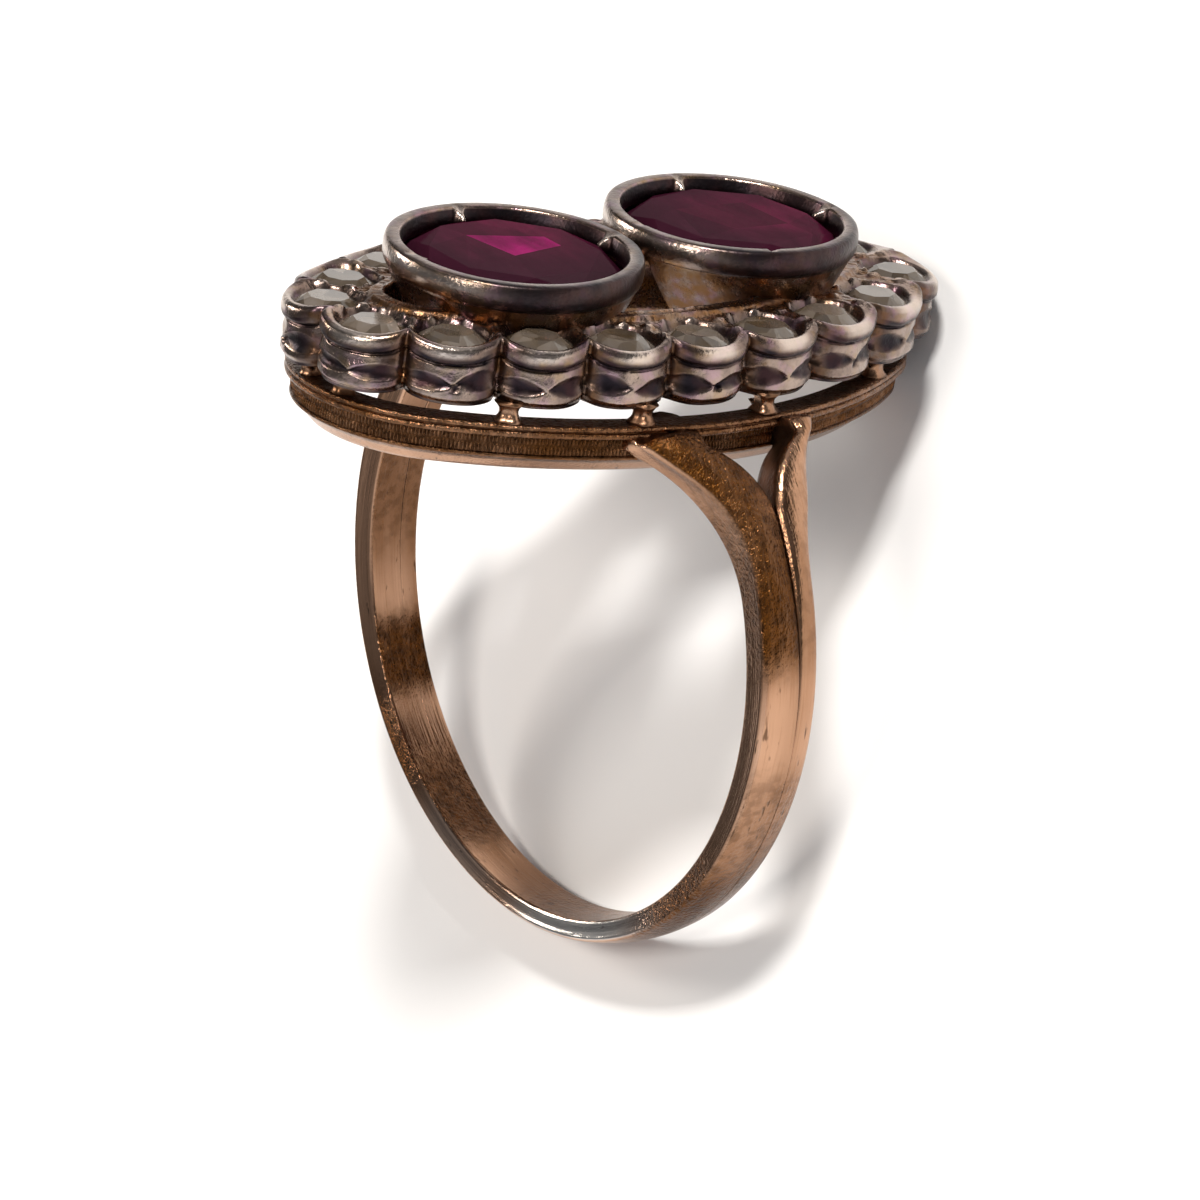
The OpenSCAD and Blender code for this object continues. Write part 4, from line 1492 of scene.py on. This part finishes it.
@dataclass(frozen=True)
class Tourmaline:
    """Round cut stone whose table shows the facets behind it, each with its own painted light and
    shade.

    Attributes:
        side: -1 for the front stone and 1 for the back one.
        spin: turn about its axis, degrees.
        window: corners of the one bright facet seen through the table, a painted reflection.
        lit: where the stone is lit, in its own plane.
        deep, warm: tints away from and at the lit place.
        tones: factor of the painted brightness for each kind of facet, in the order of Facet.
    """

    frames: Frames
    side: int
    spin: float
    window: tuple[tuple[float, float], ...]
    window_tint: Point
    lit: tuple[float, float]
    seed: int
    girdle_r: float = 3.06
    table_r: float = 2.34
    crown_h: float = 0.62
    belt_h: float = 0.1
    depth: float = 2.1
    crown_share: float = 0.92
    crown_step: float = 0.25
    pavilion_share: float = 0.56
    girdle_z: float = 2.49
    deep: Point = (0.030, 0.006, 0.014)
    warm: Point = (0.13, 0.011, 0.042)
    tones: tuple[float, ...] = (1.0, 1.0, 1.0, 1.0, 0.85, 0.6, 0.8)

    def shape(self) -> tuple[Array, list[list[int]], Array]:
        """Corners, facets and the tint of each facet's corners.

        Formula: rings of sixteen or eight corners at the table, crown, girdle and pavilion;
        the table is drawn as the one bright facet seen through it and triangles from that
        to its edge. A painted light falls off from the lit side as a bell curve of the distance.

        Returns:
            Corners in metres, lists of corners, and one linear colour a facet's corner.
        """
        def ring(n: int, r: float, z: float, a: float) -> Array:
            """Corners of a regular polygon of n sides, the first at bearing a."""
            t = np.arange(n) * 2 * math.pi / n + math.radians(a + self.spin)
            return np.stack([r * np.cos(t), r * np.sin(t), 0 * t + z], 1)

        up = self.belt_h + self.crown_h
        inner = np.concatenate([np.array(self.window), np.full((4, 1), up)], 1)
        share = self.pavilion_share
        corners = np.concatenate([
            inner, ring(8, self.table_r, up, 202.5),
            ring(8, self.girdle_r * self.crown_share, up - self.crown_step, 180),
            ring(32, self.girdle_r, self.belt_h, 180), ring(32, self.girdle_r, 0, 180),
            ring(8, self.girdle_r * share, -self.depth * share, 202.5), [[0, 0, -self.depth]]])
        table, crown, top, low, back, point = 4, 12, 20, 52, 84, 92
        facets, kinds = [[0, 1, 2, 3]], [Facet.WINDOW]
        for i in range(4):
            e = [table + (2 * i + m) % 8 for m in range(3)]
            facets += [[i, e[0], e[1]], [i, e[1], e[2]], [i, e[2], (i + 1) % 4]]
            kinds += [Facet.TABLE] * 3
        for i in range(8):
            j, b = (i + 1) % 8, (i - 1) % 8
            facets += [[table + b, crown + i, table + i],
                       [table + i, crown + i, top + 4 * i + 2, crown + j]]
            for q in (4 * i, 4 * i + 1):
                facets += [[crown + i, top + q, top + q + 1],
                           [crown + j, top + q + 2, top + (q + 3) % 32]]
            kinds += [Facet.STAR, Facet.KITE] + [Facet.BREAK] * 4
            facets += [[low + q, back + i, low + (q + 1) % 32] for q in range(4 * i, 4 * i + 4)]
            facets += [[back + i, back + j, low + (4 * i + 4) % 32], [back + i, point, back + j]]
            kinds += [Facet.PAVILION] * 6
        facets += [[top + q, low + q, low + (q + 1) % 32, top + (q + 1) % 32] for q in range(32)]
        kinds = np.array(kinds + [Facet.BELT] * 32)
        sizes = np.array([len(f) for f in facets])
        kind = np.repeat(kinds, sizes)
        rng = np.random.default_rng(self.seed)
        vary = np.repeat(rng.uniform(0.8, 1.12, len(kinds)), sizes)
        spot = corners[np.concatenate([np.array(f) for f in facets])][:, :2]
        # Painted light: brighter towards the lit place, each kind of facet with its own painted
        # brightness, the window a painted reflection.
        glow = np.exp(-((spot - np.array(self.lit)) ** 2).sum(1) / 3.2)[:, None]
        tint = np.array(self.deep) * (1 - glow) + np.array(self.warm) * glow
        tint = tint * (vary * np.array(self.tones)[kind])[:, None]
        tint = np.where((kind == Facet.WINDOW)[:, None], np.array(self.window_tint), tint)
        points = corners + np.array([0, 0, self.girdle_z])
        return placed(self.frames.bezel(self.side), points), facets, tint

    def build(self, plum: Material, name: str, node: str) -> list[Piece]:
        """Builds the stone with its tints in the attribute facet."""
        points, facets, tint = self.shape()
        mesh = bpy.data.meshes.new(name)
        mesh.from_pydata(points.tolist(), [], facets)
        write_colours(mesh, "facet", "CORNER", np.concatenate([tint, np.ones((len(tint), 1))], 1))
        mesh.update()
        stone = linked(name, mesh)
        work = bmesh.new()
        work.from_mesh(mesh)
        bmesh.ops.recalc_face_normals(work, faces=work.faces)
        work.to_mesh(mesh)
        work.free()
        return [dressed(stone, plum, node)]


# ---------------------------------------------------------------- studio


@dataclass(frozen=True)
class Studio:
    """Pale floor, soft lights and the camera at the photograph's angle to the ring.

    Attributes:
        azimuth, elevation, roll: the camera's angles to the standing ring, degrees.
        distance: from the middle of the finger hole to the camera, mm.
        lamp_away, lamp_aim: how far the lights are from the place they look at, in metres.
        lamps: name, direction, side, power and colour of each light.
        below, sky: colour of the world below, then places and greys from there up.
    """

    frames: Frames
    azimuth: float = 50.88
    elevation: float = 21.12
    roll: float = -6.69
    distance: float = 170.0
    lens: float = 185.85
    shift_x: float = 0.0216
    shift_y: float = 0.0084
    lamp_away: float = 0.35
    lamp_aim: Point = (0.0, 0.0, 0.008)
    lamps: tuple = (("key_window", (-0.08, 0.72, 0.66), 0.055, 1.15, (1.0, 0.97, 0.93)),
                    ("side_window", (-0.85, 0.35, -0.20), 0.09, 0.45, (1.0, 0.93, 0.85)),
                    ("near_window", (-0.50, 0.15, 0.85), 0.10, 0.45, (1.0, 0.93, 0.86)))
    below: tuple = (0.80, 0.87, 0.95, 1)
    sky: tuple = ((0.22, 0.55), (0.36, 0.12), (0.46, 0.04), (0.56, 0.12), (0.66, 0.09),
                  (0.76, 0.025), (0.88, 0.04), (1.0, 0.28))
    sky_strength: float = 1.8

    def axes(self) -> Array:
        """Camera's right, up and back directions on the floor, as the rows of a matrix.

        Formula: back from azimuth and elevation in the standing ring's frame, then right and
        up turned about it by the roll, all carried to the floor.
        """
        az, el, roll = (math.radians(v) for v in (self.azimuth, self.elevation, self.roll))
        back = np.array([math.sin(az) * math.cos(el), -math.cos(az) * math.cos(el), math.sin(el)])
        right = np.array([math.cos(az), math.sin(az), 0.0])
        up = np.cross(back, right)
        rows = np.stack([right * math.cos(roll) - up * math.sin(roll),
                         right * math.sin(roll) + up * math.cos(roll), back])
        return rows @ self.frames.floor[:3, :3].T / MM

    def camera(self) -> None:
        """Makes the scene's camera."""
        data = bpy.data.cameras.new("photo_view")
        data.sensor_width, data.lens = 36.0, self.lens
        data.shift_x, data.shift_y = self.shift_x, self.shift_y
        data.clip_start, data.clip_end = 0.005, 20.0
        eye = linked("photo_view", data)
        rows = self.axes()
        stand(eye, rows.T, self.frames.floor[:3, 3] + rows[2] * self.distance * MM)
        bpy.context.scene.camera = eye

    def light(self, name: str, where: Point, size: float, power: float, tint: Point) -> None:
        """Adds a soft square light that looks at the ring.

        Args:
            name: name of the light.
            where: direction from the ring in the camera's own right, up and back.
            size: side in metres.
            power: watts.
            tint: linear colour.
        """
        way = np.array(where) @ self.axes()
        way = way / np.linalg.norm(way)
        data = bpy.data.lights.new(name, "AREA")
        data.shape, data.size, data.energy, data.color = "SQUARE", size, power, tint
        side = np.cross((0.3, 0.5, 0.8), way)
        side = side / np.linalg.norm(side)
        place = way * self.lamp_away + np.array(self.lamp_aim)
        stand(linked(name, data), np.stack([side, np.cross(way, side), way], 1), place)

    def build(self) -> None:
        """Builds the floor, the world, the lights and the camera."""
        self.camera()
        x = np.linspace(-3, 3, 3)
        grid = np.stack(np.meshgrid(x, x, indexing="ij") + [np.zeros((3, 3))], -1)
        floor = surface("floor", grid, wrap_u=False, wrap_v=False)
        floor.data.materials.append(FloorPaint().make())
        world = bpy.data.worlds.new("soft_room")
        bpy.context.scene.world = world
        world.use_nodes = True
        nodes, links = world.node_tree.nodes, world.node_tree.links
        where = nodes.new("ShaderNodeTexCoord")
        lift = nodes.new("ShaderNodeVectorMath")
        lift.operation = "DOT_PRODUCT"
        lift.inputs[1].default_value = self.axes()[1]
        spread = nodes.new("ShaderNodeMapRange")
        spread.inputs["From Min"].default_value = -1.0
        shade = nodes.new("ShaderNodeValToRGB")
        links.new(where.outputs["Generated"], lift.inputs[0])
        links.new(lift.outputs["Value"], spread.inputs["Value"])
        links.new(spread.outputs[0], shade.inputs[0])
        links.new(shade.outputs[0], nodes["Background"].inputs[0])
        stops = shade.color_ramp.elements
        stops[0].position, stops[0].color = 0.0, self.below
        for place, tone in self.sky:
            stop = stops.new(place) if place < 1 else stops[-1]
            stop.color = (tone, tone, tone * 1.03, 1)
        nodes["Background"].inputs[1].default_value = self.sky_strength
        for lamp in self.lamps:
            self.light(*lamp)
        bpy.context.scene.view_settings.view_transform = "Standard"


# ---------------------------------------------------------------- ring


def main() -> None:
    """Builds the ring's sub-assemblies in order and reports each piece."""
    logging.basicConfig(level=logging.INFO, format="%(message)s")
    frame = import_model()
    frames = Frames()
    gold, silver = RoseGold().make(), OldSilver().make()
    plum, ice = PlumStone().make(), OldDiamond().make()
    Studio(frames).build()
    cluster = Cluster(frames)
    pieces = Shank(frames).build(gold)
    pieces += Gallery(frames).build(gold, cluster)
    pieces += cluster.build(silver)
    bezel = Bezel(frames, side=-1, claws=(88.0, 174.0, 264.0), dark_reflection_bearing=27.0, seed=51)
    pieces += bezel.build(silver, "bezel_front")
    bezel = Bezel(frames, side=1, claws=(84.0, 171.0, 270.0, 343.0), dark_reflection_bearing=32.0, seed=62)
    pieces += bezel.build(silver, "bezel_back")
    pieces += Bridge(frames).build(silver)
    window = ((-1.31, -0.68), (0.50, -0.37), (0.22, 1.35), (-0.53, 1.34))
    stone = Tourmaline(frames, side=-1, spin=0.0, window=window,
                       window_tint=(0.27, 0.009, 0.105), lit=(-1.6, 1.2), seed=8)
    pieces += stone.build(plum, "stone_front", "tourmaline_front")
    window = ((-1.0, -1.2), (0.9, -0.6), (1.0, 1.2), (-0.9, 1.1))
    stone = Tourmaline(frames, side=1, spin=11.0, window=window,
                       window_tint=(0.056, 0.007, 0.020), lit=(0.2, 1.4), seed=4)
    pieces += stone.build(plum, "stone_back", "tourmaline_back")
    for name, solid in frame["nodes"].items():
        if name.startswith("diamond_"):
            solid.data.materials.clear()
            solid.data.materials.append(ice)
            log.info("finish on %s", name)
    for piece in pieces:
        log.info("piece %s: %d faces", piece.name, len(piece.data.polygons))


if __name__ == "__main__":
    main()
